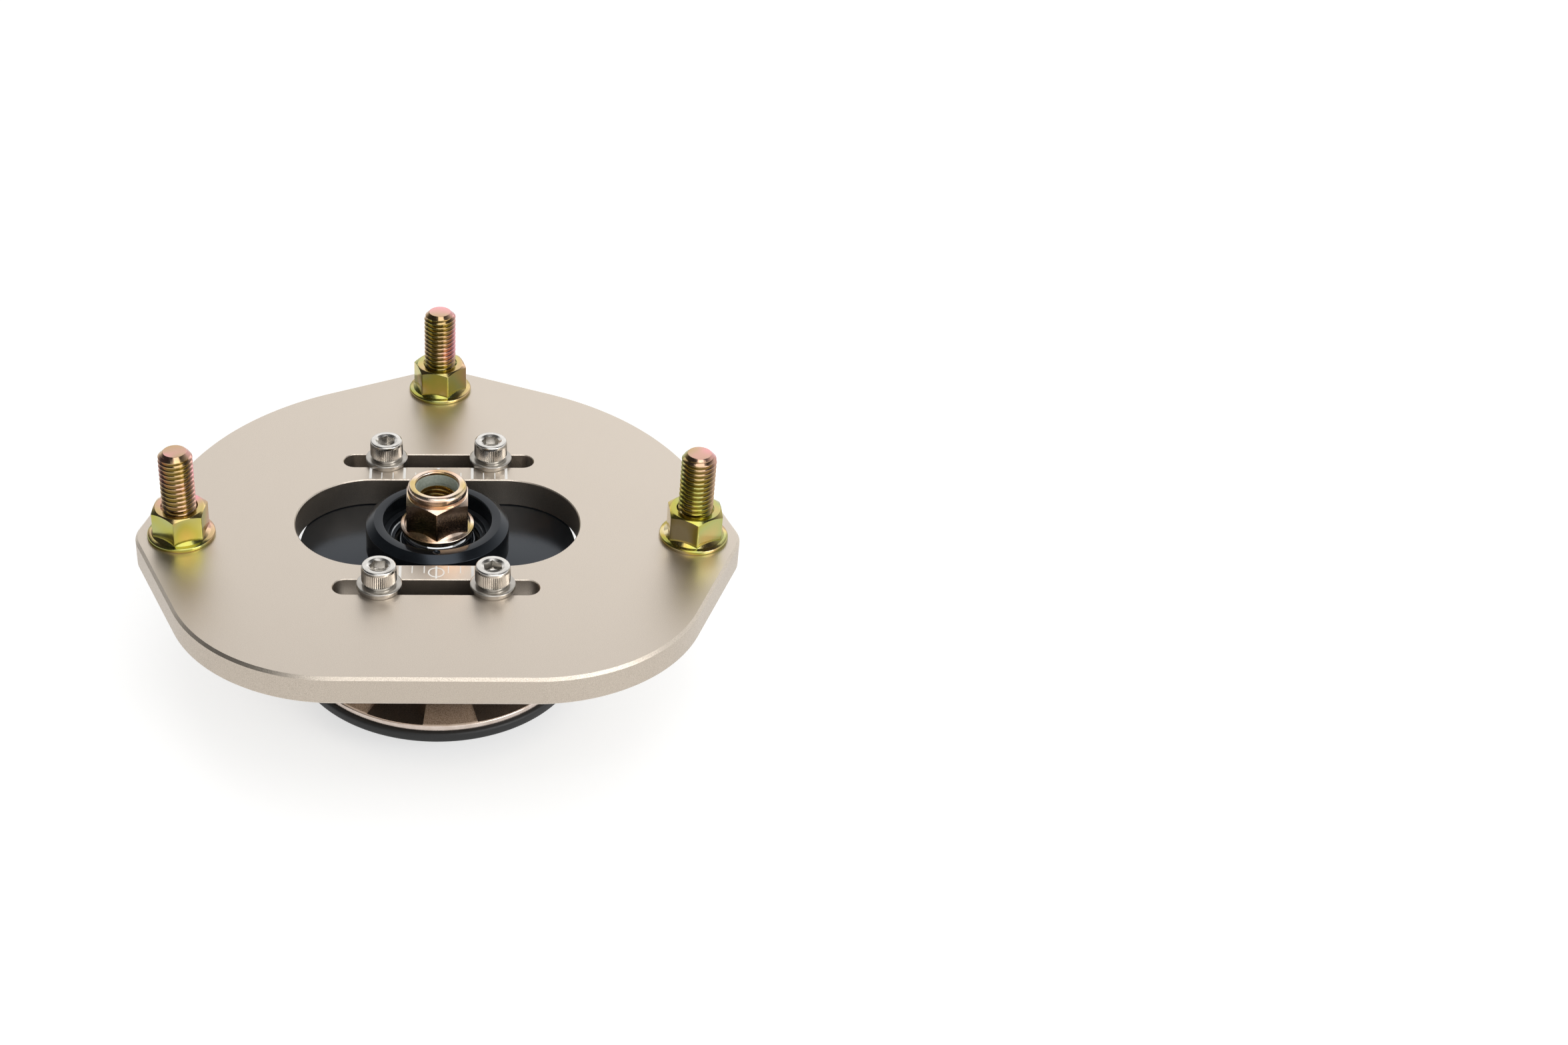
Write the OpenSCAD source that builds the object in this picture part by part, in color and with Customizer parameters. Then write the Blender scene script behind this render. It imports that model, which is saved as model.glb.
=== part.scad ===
// Adjustable pillow-ball strut top mount with its upper spring seat.
// The origin is the centre of the pillow ball. +Z is up, +X is the camber
// direction along the slots, and +Y points to the single stud.

/* [Top plate] */
// Thickness of the plate
plate_t = 9; // [7:0.5:12]
// Height of the plate's top face above the ball centre
plate_top_z = 12; // [11.5:0.5:14]
// Chamfer on the plate's outer edges
edge_chamfer = 0.8; // [0.4:0.1:2]
// Radius of the corner round each stud
corner_r = 13.5; // [12:0.5:17]
// Radius of the two rear arcs, from the rod axis
rear_arc_r = 83; // [78:0.5:88]
// Radius of the two front arcs
front_arc_r = 50.5; // [40:0.5:60]
// Half the length of the straight front edge
front_half_w = 27; // [15:1:34]
// Distance from the rod axis to the straight front edge
front_y = 75; // [70:0.5:82]

/* [Studs and nuts] */
// Thread diameter of the studs
stud_d = 10; // [8:1:12]
// Lead of the studs' thread
stud_lead = 1.5; // [1:0.25:1.75]
// Length of a stud above the plate
stud_rise = 28.6; // [22:0.2:40]
// Length of the chamfer at a stud's tip
stud_tip_l = 1.6; // [0.6:0.1:2.4]
// Distance from the rod axis back to the rear stud
stud_rear_y = 77; // [72:0.5:80]
// Sideways distance from the rod axis to a side stud
stud_side_x = 74.8; // [68:0.1:78]
// Distance of the side studs in front of the rod axis
stud_side_y = 7.3; // [0:0.1:14]
// Diameter of the studs' knurled part in the plate
stud_knurl_d = 10.8; // [10.4:0.1:12.4]
// Diameter of the recessed stud heads
stud_head_d = 17; // [15:0.5:20]
// Thickness of the recessed stud heads
stud_head_t = 3; // [2:0.25:4]
// Width across flats of the flange nuts
nut_af = 15; // [14:0.5:17]
// Height of the flange nuts
nut_h = 10; // [8:0.5:12]
// Diameter of the nuts' flanges
nut_flange_d = 20; // [18.5:0.5:22]
// Height of the flange nuts' rims
nut_rim_t = 1; // [0.8:0.1:1.6]

/* [Camber adjustment] */
// Camber travel each way from the middle
camber_travel = 9.6; // [5:0.1:10]
// Distance from a clamp screw's axis in to the sliding disc's edge
clamp_edge = 4.25; // [3.8:0.05:5]
// Half the spacing of the two screws in a slot
screw_x = 16; // [15:0.1:17]
// Thread diameter of the clamp screws
screw_d = 6; // [5:0.5:6]
// Side clearance of a clamp screw in its slot
slot_gap = 0.6; // [0.3:0.1:0.8]
// Free length past a clamp screw at full travel
slot_end_gap = 0.65; // [0.3:0.05:1]
// Diameter of the clamp screws' heads
screw_head_d = 10; // [9:0.5:11]
// Height of the clamp screws' heads
screw_head_h = 6; // [5:0.5:7]
// Width across flats of the clamp screws' sockets
screw_socket = 5; // [4:0.5:5.5]
// Depth of the clamp screws' sockets
screw_socket_l = 3; // [2:0.25:3.5]
// Bevel round the top of the clamp screws' heads
screw_bevel = 0.5; // [0.2:0.1:1]
// Length of a clamp screw's end below the sliding disc
screw_tail = 2.4; // [0.5:0.1:3]
// Diameter of the flat washers
washer_d = 13; // [12:0.5:14]
// Thickness of the flat washers
washer_t = 1.6; // [1:0.1:2]
// Length of the oval window in the plate
window_l = 84; // [80:1:90]
// Clearance between the hub and the window's long sides
window_gap = 1.35; // [0.5:0.05:1.6]

/* [Bearing carrier] */
// Diameter of the sliding disc
disc_d = 82.4; // [80:0.2:86]
// Thickness of the sliding disc
disc_t = 7.3; // [6:0.1:9]
// Diameter of the hub in the window
hub_d = 42.3; // [41:0.1:44]
// Height of the hub's top above the plate
hub_rise = 0.9; // [0:0.1:2]
// Edge break on the sliding disc and in the hub's mouth
disc_edge = 0.4; // [0.2:0.1:0.8]
// Width of the bevel round the hub's top
hub_bevel_w = 2.4; // [1:0.1:2.8]
// Depth of the bevel round the hub's top
hub_bevel_h = 1.8; // [1:0.1:2.8]
// Diameter of the index dimple drilled in the hub's top face
dimple_d = 2.2; // [1:0.1:2.4]
// Depth of the index dimple
dimple_l = 1.6; // [0.6:0.1:3]
// Diameter of the housing below the sliding disc
housing_d = 52.6; // [52:0.1:56]
// Height of the housing below the sliding disc
housing_h = 6.1; // [5:0.1:8]
// Diameter of the retaining ring
ring_d = 53; // [52:0.1:56]
// Thickness of the retaining ring
ring_t = 4.6; // [4:0.1:5]
// Bore of the retaining ring
ring_bore = 29; // [28.6:0.1:30]
// Thread diameter of the ring screws
ring_screw_d = 5; // [4:0.5:5]
// Circle on which the ring screws stand
ring_screw_pcd = 43.6; // [42.5:0.1:43.8]
// Diameter of the ring screws' heads
ring_head_d = 9.4; // [8.5:0.1:9.4]
// Height of the ring screws' heads
ring_head_h = 2.6; // [2:0.1:2.7]
// Length of the ring screws below the head
ring_screw_l = 12; // [9:0.5:13]
// Width across flats of the ring screws' sockets
ring_socket = 3; // [2:0.5:3.5]
// Depth of the ring screws' sockets
ring_socket_l = 1.5; // [1:0.1:1.8]
// Height of the straight edge round the ring screws' heads
ring_head_edge = 0.5; // [0.3:0.1:0.8]
// Number of ring screws
ring_screws_n = 4; // [3:1:6]

/* [Pillow ball] */
// Diameter of the ball
ball_d = 26; // [25.6:0.1:26.2]
// Width of the ball across its two flats
ball_w = 16; // [15.6:0.1:17]
// Outer diameter of the race
race_d = 32; // [31.6:0.1:33]
// Width of the race
race_w = 13; // [12.6:0.1:13.4]
// Thickness of the two liner rings
liner_t = 0.7; // [0.5:0.05:0.75]
// Gap on each side of the liner
film = 0.15; // [0.1:0.01:0.18]
// Half the width of the gap between the two liner rings
liner_split = 1; // [0.9:0.05:1.4]
// Distance of the liner rings' far edges from the ball centre
liner_reach = 4.2; // [3.4:0.1:4.6]
// Thickness of the circlip above the race
ball_clip_t = 1.2; // [1:0.1:1.3]

/* [Rod stack] */
// Diameter of the damper rod's end
rod_d = 12; // [10:0.5:12]
// Outer diameter of the sleeve through the ball
sleeve_d = 16; // [15:0.25:16.5]
// Diameter of the collar on the ball
collar_d = 20.6; // [19.6:0.2:21]
// Thickness of the collar on the ball
collar_t = 2.4; // [2.4:0.1:3.2]
// Bevel round the top of the collar on the ball
collar_bevel = 1.4; // [0.4:0.1:1.6]
// Width across flats of the lock nut
lock_af = 18; // [17:0.5:19]
// Height of the lock nut
lock_h = 14.7; // [13.5:0.1:17]
// Height of the lock nut's hexagon, with its flange
lock_hex_h = 11.4; // [8:0.1:12]
// Diameter of the lock nut's flange
lock_flange_d = 22; // [21:0.2:22.4]
// Bevel round the lock nut's top collar
lock_top_bevel = 0.9; // [0.4:0.1:1.2]
// Outer diameter of the lock nut's top collar
lock_top_d = 17.4; // [16.6:0.1:17.6]
// Minor diameter of the lock nut's thread
lock_bore = 10.6; // [9:0.1:10.8]
// Height of the rim of the lock nut's flange
lock_rim_t = 1.1; // [0.8:0.1:1.6]
// Height of the nylon ring in the lock nut
nylon_h = 3; // [2:0.1:3.4]
// Depth of the nylon ring below the lock nut's top
nylon_depth = 1; // [0.6:0.1:1.4]
// Wall of the lock nut round the nylon ring
nylon_wall = 1.3; // [0.9:0.1:1.8]
// Diameter of the lower spacer
spacer_d = 22; // [20:0.5:22]
// Distance from the ball centre to the spacer's cone
spacer_cone_z = 18; // [16:0.2:18.6]
// Diameter of the spacer's foot on the seat bearing
foot_d = 30; // [29:0.2:31]
// Height of the straight foot below the cone
foot_h = 1.3; // [1:0.1:2]

/* [Seat bearing] */
// Bore of the bearing
bearing_bore = 25; // [22:0.5:25]
// Outer diameter of the bearing
bearing_d = 47; // [46.6:0.1:47.4]
// Width of the bearing
bearing_w = 12; // [11.6:0.1:12.6]
// Diameter of the bearing's balls
bearing_ball_d = 7.7; // [7:0.1:7.8]
// Number of balls
bearing_balls_n = 10; // [8:1:11]
// Width of the open ring between the two races
bearing_shoulder_gap = 4.2; // [3.6:0.1:5]
// Thickness of the ball cage's wall
cage_t = 1.6; // [1:0.1:2]
// Height of the ball cage above the balls' centres
cage_rise = 1.54; // [0.8:0.01:2]
// Distance from the ball centre down to the bearing
bearing_top_z = 24.2; // [24.2:0.1:26]
// Thickness of the circlip under the bearing
seat_clip_t = 1.75; // [1.2:0.05:2]
// Thickness of the bearing's lip seals
seal_t = 1; // [0.6:0.1:1.2]
// Depth of the lip seals' faces below the bearing's
seal_sink = 0.3; // [0.1:0.1:0.5]

/* [Spring seat] */
// Height of the seat's rim above the bearing
seat_rim_h = 0.9; // [0.6:0.1:1]
// Outer diameter of the seat's top rim
seat_rim_d = 52.4; // [51.6:0.1:53]
// Outer diameter of the seat
seat_d = 86; // [84:0.5:90]
// Height of the cone from rim to lip
seat_cone_h = 7.2; // [6.4:0.1:8]
// Height of the turned lip
seat_lip_h = 2.2; // [1.6:0.1:3]
// Outer diameter of the hub inside the isolator
seat_hub_d = 56.4; // [55:0.2:57.4]
// Length of the hub below the lip
seat_hub_h = 7.8; // [7:0.1:9]
// Number of pockets in the cone
pockets_n = 8; // [6:1:8]
// Distance from the axis to the pockets' back wall
pocket_in_r = 28.4; // [28:0.1:30]
// Half the width of a pocket at its back wall
pocket_half_w = 7.1; // [6:0.1:7.6]
// Flare of each side of a pocket
pocket_flare = 9; // [4:0.5:11]
// Radius of a pocket's inner corners
pocket_corner_r = 4.2; // [2.5:0.1:5.5]
// Turn of the first pocket from the front
pocket_turn = 28.2; // [0:0.2:45]

/* [Isolator] */
// Outer diameter of the isolator's flange
isolator_d = 88.2; // [85:0.2:94]
// Thickness of the isolator's flange
isolator_t = 3.5; // [2.5:0.1:5]
// Diameter of the pilot that centres the spring
pilot_d = 64.8; // [62:0.1:68]
// Height of the pilot below the flange
pilot_h = 9.2; // [7:0.1:12]
// Rounding of the isolator's free edges
isolator_round = 1.1; // [0.5:0.1:1.5]

/* [Hidden] */
$fn = 96;

// clearances
thread_gap = 0.05;   // a screw or stud in its plain hole
tap_gap = 0.4;       // free depth in the ring screws' holes past their ends
head_sink = 0.4;     // how far the stud heads lie inside the plate's underside
seat_gap = 0.03;     // a pressed or bonded ring in its seat
race_gap = 0.15;     // a bearing ball in its raceway
cage_band = 0.5;     // thickness of the bearing cage's band under the balls
cut = 1;             // how far a cutter runs past what it cuts
hex_corner = 2 / sqrt(3); // across the corners of a hexagon, for 1 across its flats

// heights of the faces that other pieces sit on
plate_bottom_z = plate_top_z - plate_t;
hub_top_z = plate_top_z + hub_rise;
disc_bottom_z = plate_bottom_z - disc_t;
housing_bottom_z = disc_bottom_z - housing_h;
ring_bottom_z = housing_bottom_z - ring_t;
collar_top_z = ball_w / 2 + collar_t;
bearing_mid_z = -bearing_top_z - bearing_w / 2;
bearing_bottom_z = -bearing_top_z - bearing_w;
seat_top_z = -bearing_top_z + seat_rim_h;
lip_top_z = seat_top_z - seat_cone_h;
seat_under_z = lip_top_z - seat_lip_h;
seat_hub_z = seat_under_z - seat_hub_h;
flange_bottom_z = seat_under_z - isolator_t;
pilot_bottom_z = flange_bottom_z - pilot_h;

// radii that pieces share
hub_r = hub_d / 2;
race_r = race_d / 2;
race_sphere_r = ball_d / 2 + 2 * film + liner_t;
clip_groove_r = race_r + 0.85;
stud_pitch_d = stud_d - 0.65 * stud_lead;
pitch_r = (bearing_bore + bearing_d) / 4;
raceway_r = bearing_ball_d / 2 + race_gap;
inner_race_r = pitch_r - bearing_shoulder_gap / 2;
outer_race_r = pitch_r + bearing_shoulder_gap / 2;
seat_bore_r = bearing_d / 2 + seat_gap;
seat_groove_r = seat_bore_r + 1;
seat_r = seat_d / 2;
lip_break = 0.5;

window_w = hub_d + 2 * window_gap;
slot_y = sqrt((disc_d / 2 - clamp_edge) ^ 2 - screw_x ^ 2);
slot_w = screw_d + 2 * slot_gap;
slot_l = 2 * (screw_x + camber_travel + screw_d / 2 + slot_end_gap);

front_arc = [front_half_w, front_arc_r - front_y];
studs = [[0, stud_rear_y], [-stud_side_x, -stud_side_y], [stud_side_x, -stud_side_y]];
clamps = [for (x = [-screw_x, screw_x], y = [-slot_y, slot_y]) [x, y]];

// points of an arc of radius r round c, from angle a to angle b
function arc(c, r, a, b, n = 8) =
    [for (i = [0:n]) c + r * [cos(a + (b - a) * i / n), sin(a + (b - a) * i / n)]];

// a plain tube between two heights
module tube(r, bore, low, high) {
    translate([0, 0, low]) difference() {
        cylinder(h = high - low, r = r);
        translate([0, 0, -cut]) cylinder(h = high - low + 2 * cut, r = bore);
    }
}

// a hole with round ends, along X
module slot(length, width, low, high) {
    half = (length - width) / 2;
    translate([0, 0, low]) {
        for (x = [-half, half]) translate([x, 0, 0]) cylinder(h = high - low, d = width);
        translate([-half, -width / 2, 0]) cube([2 * half, width, high - low]);
    }
}

// a hexagonal prism with its corners broken at the top
module hex_body(af, low, high, corner_break = 0.8) {
    corner_d = af * hex_corner;
    intersection() {
        translate([0, 0, low]) rotate([0, 0, 30]) cylinder(h = high - low, d = corner_d, $fn = 6);
        rotate_extrude() polygon([
            [0, low], [corner_d / 2, low], [corner_d / 2, high - corner_break],
            [af / 2 - 0.2, high], [0, high]]);
    }
}

// a nut's flange, thin at its rim and rising to the hexagon
module nut_flange(d, af, low, rim_t, slope_h) {
    rotate_extrude() polygon([
        [0, low], [d / 2 - 0.3, low], [d / 2, low + 0.3], [d / 2, low + rim_t],
        [af / 2, low + rim_t + slope_h], [0, low + rim_t + slope_h]]);
}

// a C-shaped circlip with two eyes, its gap at the front
module circlip(r, width, thickness, low, eye_r, gap_angle) {
    eye_at = r - width + 0.1;
    turn = gap_angle / 2 + asin(eye_r / eye_at);
    translate([0, 0, low]) difference() {
        union() {
            difference() {
                cylinder(h = thickness, r = r);
                translate([0, 0, -cut]) cylinder(h = thickness + 2 * cut, r = r - width);
                translate([0, 0, -cut]) linear_extrude(height = thickness + 2 * cut)
                    polygon([[0, 0],
                        [-2 * r * sin(turn), -2 * r * cos(turn)],
                        [2 * r * sin(turn), -2 * r * cos(turn)]]);
            }
            for (side = [-1, 1]) rotate([0, 0, side * turn])
                translate([0, -eye_at, 0]) cylinder(h = thickness, r = eye_r);
        }
        for (side = [-1, 1]) rotate([0, 0, side * turn])
            translate([0, -eye_at, -cut]) cylinder(h = thickness + 2 * cut, r = eye_r * 0.5);
    }
}

// one corner of the plate: a disc with both edges chamfered
module corner_disc(r) {
    translate([0, 0, plate_bottom_z]) cylinder(h = plate_t, r = r - edge_chamfer);
    translate([0, 0, plate_bottom_z + edge_chamfer])
        cylinder(h = plate_t - 2 * edge_chamfer, r = r);
}

module plate_blank() {
    hull() {
        for (p = studs) translate(p) corner_disc(corner_r);
        for (side = [-1, 1]) translate([side * front_arc.x, front_arc.y]) corner_disc(front_arc_r);
        intersection() {
            corner_disc(rear_arc_r);
            translate([-rear_arc_r, 0, plate_bottom_z])
                cube([2 * rear_arc_r, rear_arc_r, plate_t]);
        }
    }
}

module top_plate() {
    low = plate_bottom_z - cut;
    high = plate_top_z + cut;
    color("#D2C7B8") difference() {
        plate_blank();
        slot(window_l, window_w, low, high);
        for (y = [-slot_y, slot_y]) translate([0, y, 0]) slot(slot_l, slot_w, low, high);
        for (p = studs) translate(p) {
            translate([0, 0, low]) cylinder(h = high - low, d = stud_knurl_d + 2 * seat_gap);
            translate([0, 0, low])
                cylinder(h = stud_head_t + head_sink + cut, d = stud_head_d + 2 * thread_gap);
        }
    }
}

// recessed head, knurled part in the plate, thread in the nut, and the free thread;
// the thread is drawn at its pitch diameter where the nut is on it
module mounting_studs() {
    head_z = plate_bottom_z + head_sink;
    nut_top_z = plate_top_z + nut_h;
    tip_z = plate_top_z + stud_rise;
    color("#C9B36A") for (p = studs) translate(p) rotate_extrude() polygon([
        [0, head_z], [stud_head_d / 2, head_z], [stud_head_d / 2, head_z + stud_head_t],
        [stud_knurl_d / 2, head_z + stud_head_t], [stud_knurl_d / 2, plate_top_z],
        [stud_pitch_d / 2, plate_top_z], [stud_pitch_d / 2, nut_top_z],
        [stud_d / 2, nut_top_z], [stud_d / 2, tip_z - stud_tip_l],
        [stud_d / 2 - stud_tip_l, tip_z], [0, tip_z]]);
}

module flange_nuts() {
    color("#B9A94E") for (p = studs) translate(p) difference() {
        union() {
            hex_body(nut_af, plate_top_z, plate_top_z + nut_h);
            nut_flange(nut_flange_d, nut_af, plate_top_z, nut_rim_t, 1.4);
        }
        translate([0, 0, plate_top_z - cut])
            cylinder(h = nut_h + 2 * cut, d = stud_pitch_d + 2 * thread_gap);
    }
}

// disc under the plate, hub through the window, and housing below
module bearing_carrier() {
    bore_r = race_r + seat_gap;
    color("#1B1C1E") difference() {
        rotate_extrude() polygon([
            [bore_r, hub_top_z - disc_edge], [bore_r + disc_edge, hub_top_z],
            [hub_r - hub_bevel_w, hub_top_z], [hub_r, hub_top_z - hub_bevel_h],
            [hub_r, plate_bottom_z], [disc_d / 2 - disc_edge, plate_bottom_z],
            [disc_d / 2, plate_bottom_z - disc_edge], [disc_d / 2, disc_bottom_z + disc_edge],
            [disc_d / 2 - disc_edge, disc_bottom_z], [housing_d / 2, disc_bottom_z],
            [housing_d / 2, housing_bottom_z], [bore_r, housing_bottom_z]]);
        translate([0, 0, race_w / 2]) cylinder(h = ball_clip_t + thread_gap, r = clip_groove_r);
        for (p = clamps) translate([p.x, p.y, disc_bottom_z - cut])
            cylinder(h = disc_t + 2 * cut, d = screw_d + 2 * thread_gap);
        for (a = [0:360 / ring_screws_n:359]) rotate([0, 0, a])
            translate([ring_screw_pcd / 2, 0, housing_bottom_z - cut])
                cylinder(h = ring_screw_l - ring_t + tap_gap + cut,
                    d = ring_screw_d + 2 * thread_gap);
        // index dimple in the middle of the hub's top face, at the front
        translate([0, -(bore_r + hub_r - hub_bevel_w) / 2, hub_top_z - dimple_l])
            cylinder(h = dimple_l + cut, d = dimple_d);
    }
}

module clamp_screws() {
    head_z = plate_top_z + washer_t;
    tail_z = disc_bottom_z - screw_tail;
    color("#C4C2BE") for (p = clamps) translate(p) difference() {
        union() {
            translate([0, 0, tail_z]) cylinder(h = head_z - tail_z, d = screw_d);
            translate([0, 0, head_z]) cylinder(h = screw_head_h - screw_bevel, d = screw_head_d);
            translate([0, 0, head_z + screw_head_h - screw_bevel])
                cylinder(h = screw_bevel, d1 = screw_head_d, d2 = screw_head_d - 2 * screw_bevel);
        }
        translate([0, 0, head_z + screw_head_h - screw_socket_l])
            cylinder(h = screw_socket_l + cut, d = screw_socket * hex_corner, $fn = 6);
    }
}

module flat_washers() {
    color("#BDBBB6") for (p = clamps) translate(p)
        tube(washer_d / 2, screw_d / 2 + 0.2, plate_top_z, plate_top_z + washer_t);
}

module ball_circlip() {
    color("#26272A") circlip(clip_groove_r - thread_gap, 2.4, ball_clip_t, race_w / 2, 1.85, 22);
}

module ball_race() {
    color("#8E9093") difference() {
        translate([0, 0, -race_w / 2]) cylinder(h = race_w, r = race_r);
        sphere(r = race_sphere_r);
    }
}

// spigot up to the race, and the flange that the ring screws hold
module retaining_ring() {
    color("#17181A") difference() {
        union() {
            translate([0, 0, ring_bottom_z]) cylinder(h = ring_t, d = ring_d);
            translate([0, 0, housing_bottom_z - cut])
                cylinder(h = -race_w / 2 - housing_bottom_z + cut, r = race_r);
        }
        translate([0, 0, ring_bottom_z - cut])
            cylinder(h = -race_w / 2 - ring_bottom_z + 2 * cut, d = ring_bore);
        for (a = [0:360 / ring_screws_n:359]) rotate([0, 0, a])
            translate([ring_screw_pcd / 2, 0, ring_bottom_z - cut])
                cylinder(h = ring_t + 2 * cut, d = ring_screw_d + 2 * thread_gap);
    }
}

// a domed head under the ring, with its socket open downwards
module ring_screw() {
    rise = ring_head_h - ring_head_edge;
    top_r = ring_head_d / 4;
    dome_r = ((ring_head_d / 2 - top_r) ^ 2 + rise ^ 2) / (2 * rise);
    top_a = 90;
    rim_a = top_a - acos(1 - rise / dome_r);
    difference() {
        union() {
            rotate_extrude() polygon(concat(
                [[0, 0], [0, ring_head_h]],
                arc([top_r, ring_head_h - dome_r], dome_r, top_a, rim_a),
                [[ring_head_d / 2, 0]]));
            translate([0, 0, -ring_screw_l]) cylinder(h = ring_screw_l, d = ring_screw_d);
        }
        translate([0, 0, ring_head_h - ring_socket_l])
            cylinder(h = ring_socket_l + cut, d = ring_socket * hex_corner, $fn = 6);
    }
}

module ring_screws() {
    color("#5C5650") for (a = [0:360 / ring_screws_n:359]) rotate([0, 0, a])
        translate([ring_screw_pcd / 2, 0, ring_bottom_z]) rotate([180, 0, 0]) ring_screw();
}

// a spherical ring between two heights
module liner_ring(low, high) {
    difference() {
        intersection() {
            sphere(r = race_sphere_r - film);
            translate([0, 0, low]) cylinder(h = high - low, r = race_sphere_r);
        }
        sphere(r = ball_d / 2 + film);
    }
}

module upper_liner() {
    color("#E9E6DC") liner_ring(liner_split, liner_reach);
}

module lower_liner() {
    color("#E9E6DC") liner_ring(-liner_reach, -liner_split);
}

module pillow_ball() {
    color("#D8D9DB") difference() {
        intersection() {
            sphere(d = ball_d);
            cube([ball_d, ball_d, ball_w], center = true);
        }
        cylinder(h = ball_w + 2 * cut, d = sleeve_d + 2 * seat_gap, center = true);
    }
}

// collar on the ball, with the sleeve that lines its bore
module top_collar() {
    bottom = -ball_w / 2;
    color("#C59A72") difference() {
        union() {
            translate([0, 0, bottom]) cylinder(h = ball_w + cut, d = sleeve_d);
            rotate_extrude() polygon([
                [0, ball_w / 2], [collar_d / 2, ball_w / 2],
                [collar_d / 2, collar_top_z - collar_bevel],
                [collar_d / 2 - collar_bevel, collar_top_z], [0, collar_top_z]]);
        }
        translate([0, 0, bottom - cut])
            cylinder(h = ball_w + collar_t + 2 * cut, d = rod_d + 4 * thread_gap);
    }
}

// spacer under the ball, spreading to its foot and the bearing's spigot
module lower_spacer() {
    top = -ball_w / 2;
    foot_z = -bearing_top_z;
    edge = 0.7;
    color("#B98F86") difference() {
        rotate_extrude() polygon([
            [0, top], [spacer_d / 2 - edge, top], [spacer_d / 2, top - edge],
            [spacer_d / 2, -spacer_cone_z], [foot_d / 2, foot_z + foot_h], [foot_d / 2, foot_z],
            [bearing_bore / 2 - seat_gap, foot_z],
            [bearing_bore / 2 - seat_gap, bearing_bottom_z + edge],
            [bearing_bore / 2 - edge, bearing_bottom_z], [0, bearing_bottom_z]]);
        translate([0, 0, bearing_bottom_z - cut])
            cylinder(h = top - bearing_bottom_z + 2 * cut, d = rod_d + 4 * thread_gap);
    }
}

// flange nut with a round collar that holds the nylon ring
module lock_nut() {
    hex_top = collar_top_z + lock_hex_h;
    top = collar_top_z + lock_h;
    pocket_z = top - nylon_depth - nylon_h;
    color("#C7A08C") difference() {
        union() {
            hex_body(lock_af, collar_top_z, hex_top, 1);
            nut_flange(lock_flange_d, lock_af, collar_top_z, lock_rim_t, 1.6);
            rotate_extrude() polygon([
                [0, hex_top - cut], [lock_top_d / 2, hex_top - cut],
                [lock_top_d / 2, top - lock_top_bevel],
                [lock_top_d / 2 - lock_top_bevel, top], [0, top]]);
        }
        translate([0, 0, collar_top_z - cut]) cylinder(h = lock_h + 2 * cut, d = lock_bore);
        translate([0, 0, pocket_z])
            cylinder(h = nylon_h + nylon_depth + cut, d = lock_top_d - 2 * nylon_wall);
    }
}

module nylon_insert() {
    top = collar_top_z + lock_h - nylon_depth;
    color("#8C9284")
        tube(lock_top_d / 2 - nylon_wall - seat_gap, lock_bore / 2 + 0.2, top - nylon_h, top);
}

module bearing_ring(r, bore) {
    difference() {
        tube(r, bore, bearing_bottom_z, -bearing_top_z);
        translate([0, 0, bearing_mid_z]) rotate_extrude() translate([pitch_r, 0]) circle(raceway_r);
    }
}

module bearing_inner_race() {
    color("#9FA2A5") bearing_ring(inner_race_r, bearing_bore / 2);
}

module bearing_outer_race() {
    color("#9FA2A5") bearing_ring(bearing_d / 2, outer_race_r);
}

module bearing_balls() {
    color("#CDD0D3") for (i = [0:bearing_balls_n - 1]) rotate([0, 0, i * 360 / bearing_balls_n])
        translate([pitch_r, 0, bearing_mid_z]) sphere(d = bearing_ball_d);
}

// a crown: a band under the balls, with fingers between them
module ball_cage() {
    color("#A89A6A") difference() {
        tube(pitch_r + cage_t / 2, pitch_r - cage_t / 2, bearing_mid_z - raceway_r - cage_band,
            bearing_mid_z + cage_rise);
        for (i = [0:bearing_balls_n - 1]) rotate([0, 0, i * 360 / bearing_balls_n])
            translate([pitch_r, 0, bearing_mid_z]) sphere(r = raceway_r);
    }
}

// a lip seal, set in flush from a face of the bearing
module seal(high) {
    color("#202123") tube(outer_race_r - seat_gap, inner_race_r + 0.2, high - seal_t, high);
}

module upper_seal() {
    seal(-bearing_top_z - seal_sink);
}

module lower_seal() {
    seal(bearing_bottom_z + seal_sink + seal_t);
}

module bearing_circlip() {
    color("#2B2C2F")
        circlip(seat_groove_r - thread_gap, 3, seat_clip_t, bearing_bottom_z - seat_clip_t, 2.3, 20);
}

// a pocket open to the outside, with two round inner corners
module pocket() {
    at = [pocket_corner_r, pocket_half_w - pocket_corner_r];
    tangent = at + pocket_corner_r * [-sin(pocket_flare), cos(pocket_flare)];
    reach = seat_r - pocket_in_r + cut;
    side = tangent.y + (reach - tangent.x) * tan(pocket_flare);
    for (y = [-at.y, at.y]) translate([at.x, y, 0])
        cylinder(h = seat_cone_h + cut, r = pocket_corner_r);
    linear_extrude(height = seat_cone_h + cut) polygon([
        [0, -at.y], [tangent.x, -tangent.y], [reach, -side],
        [reach, side], [tangent.x, tangent.y], [0, at.y]]);
}

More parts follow.
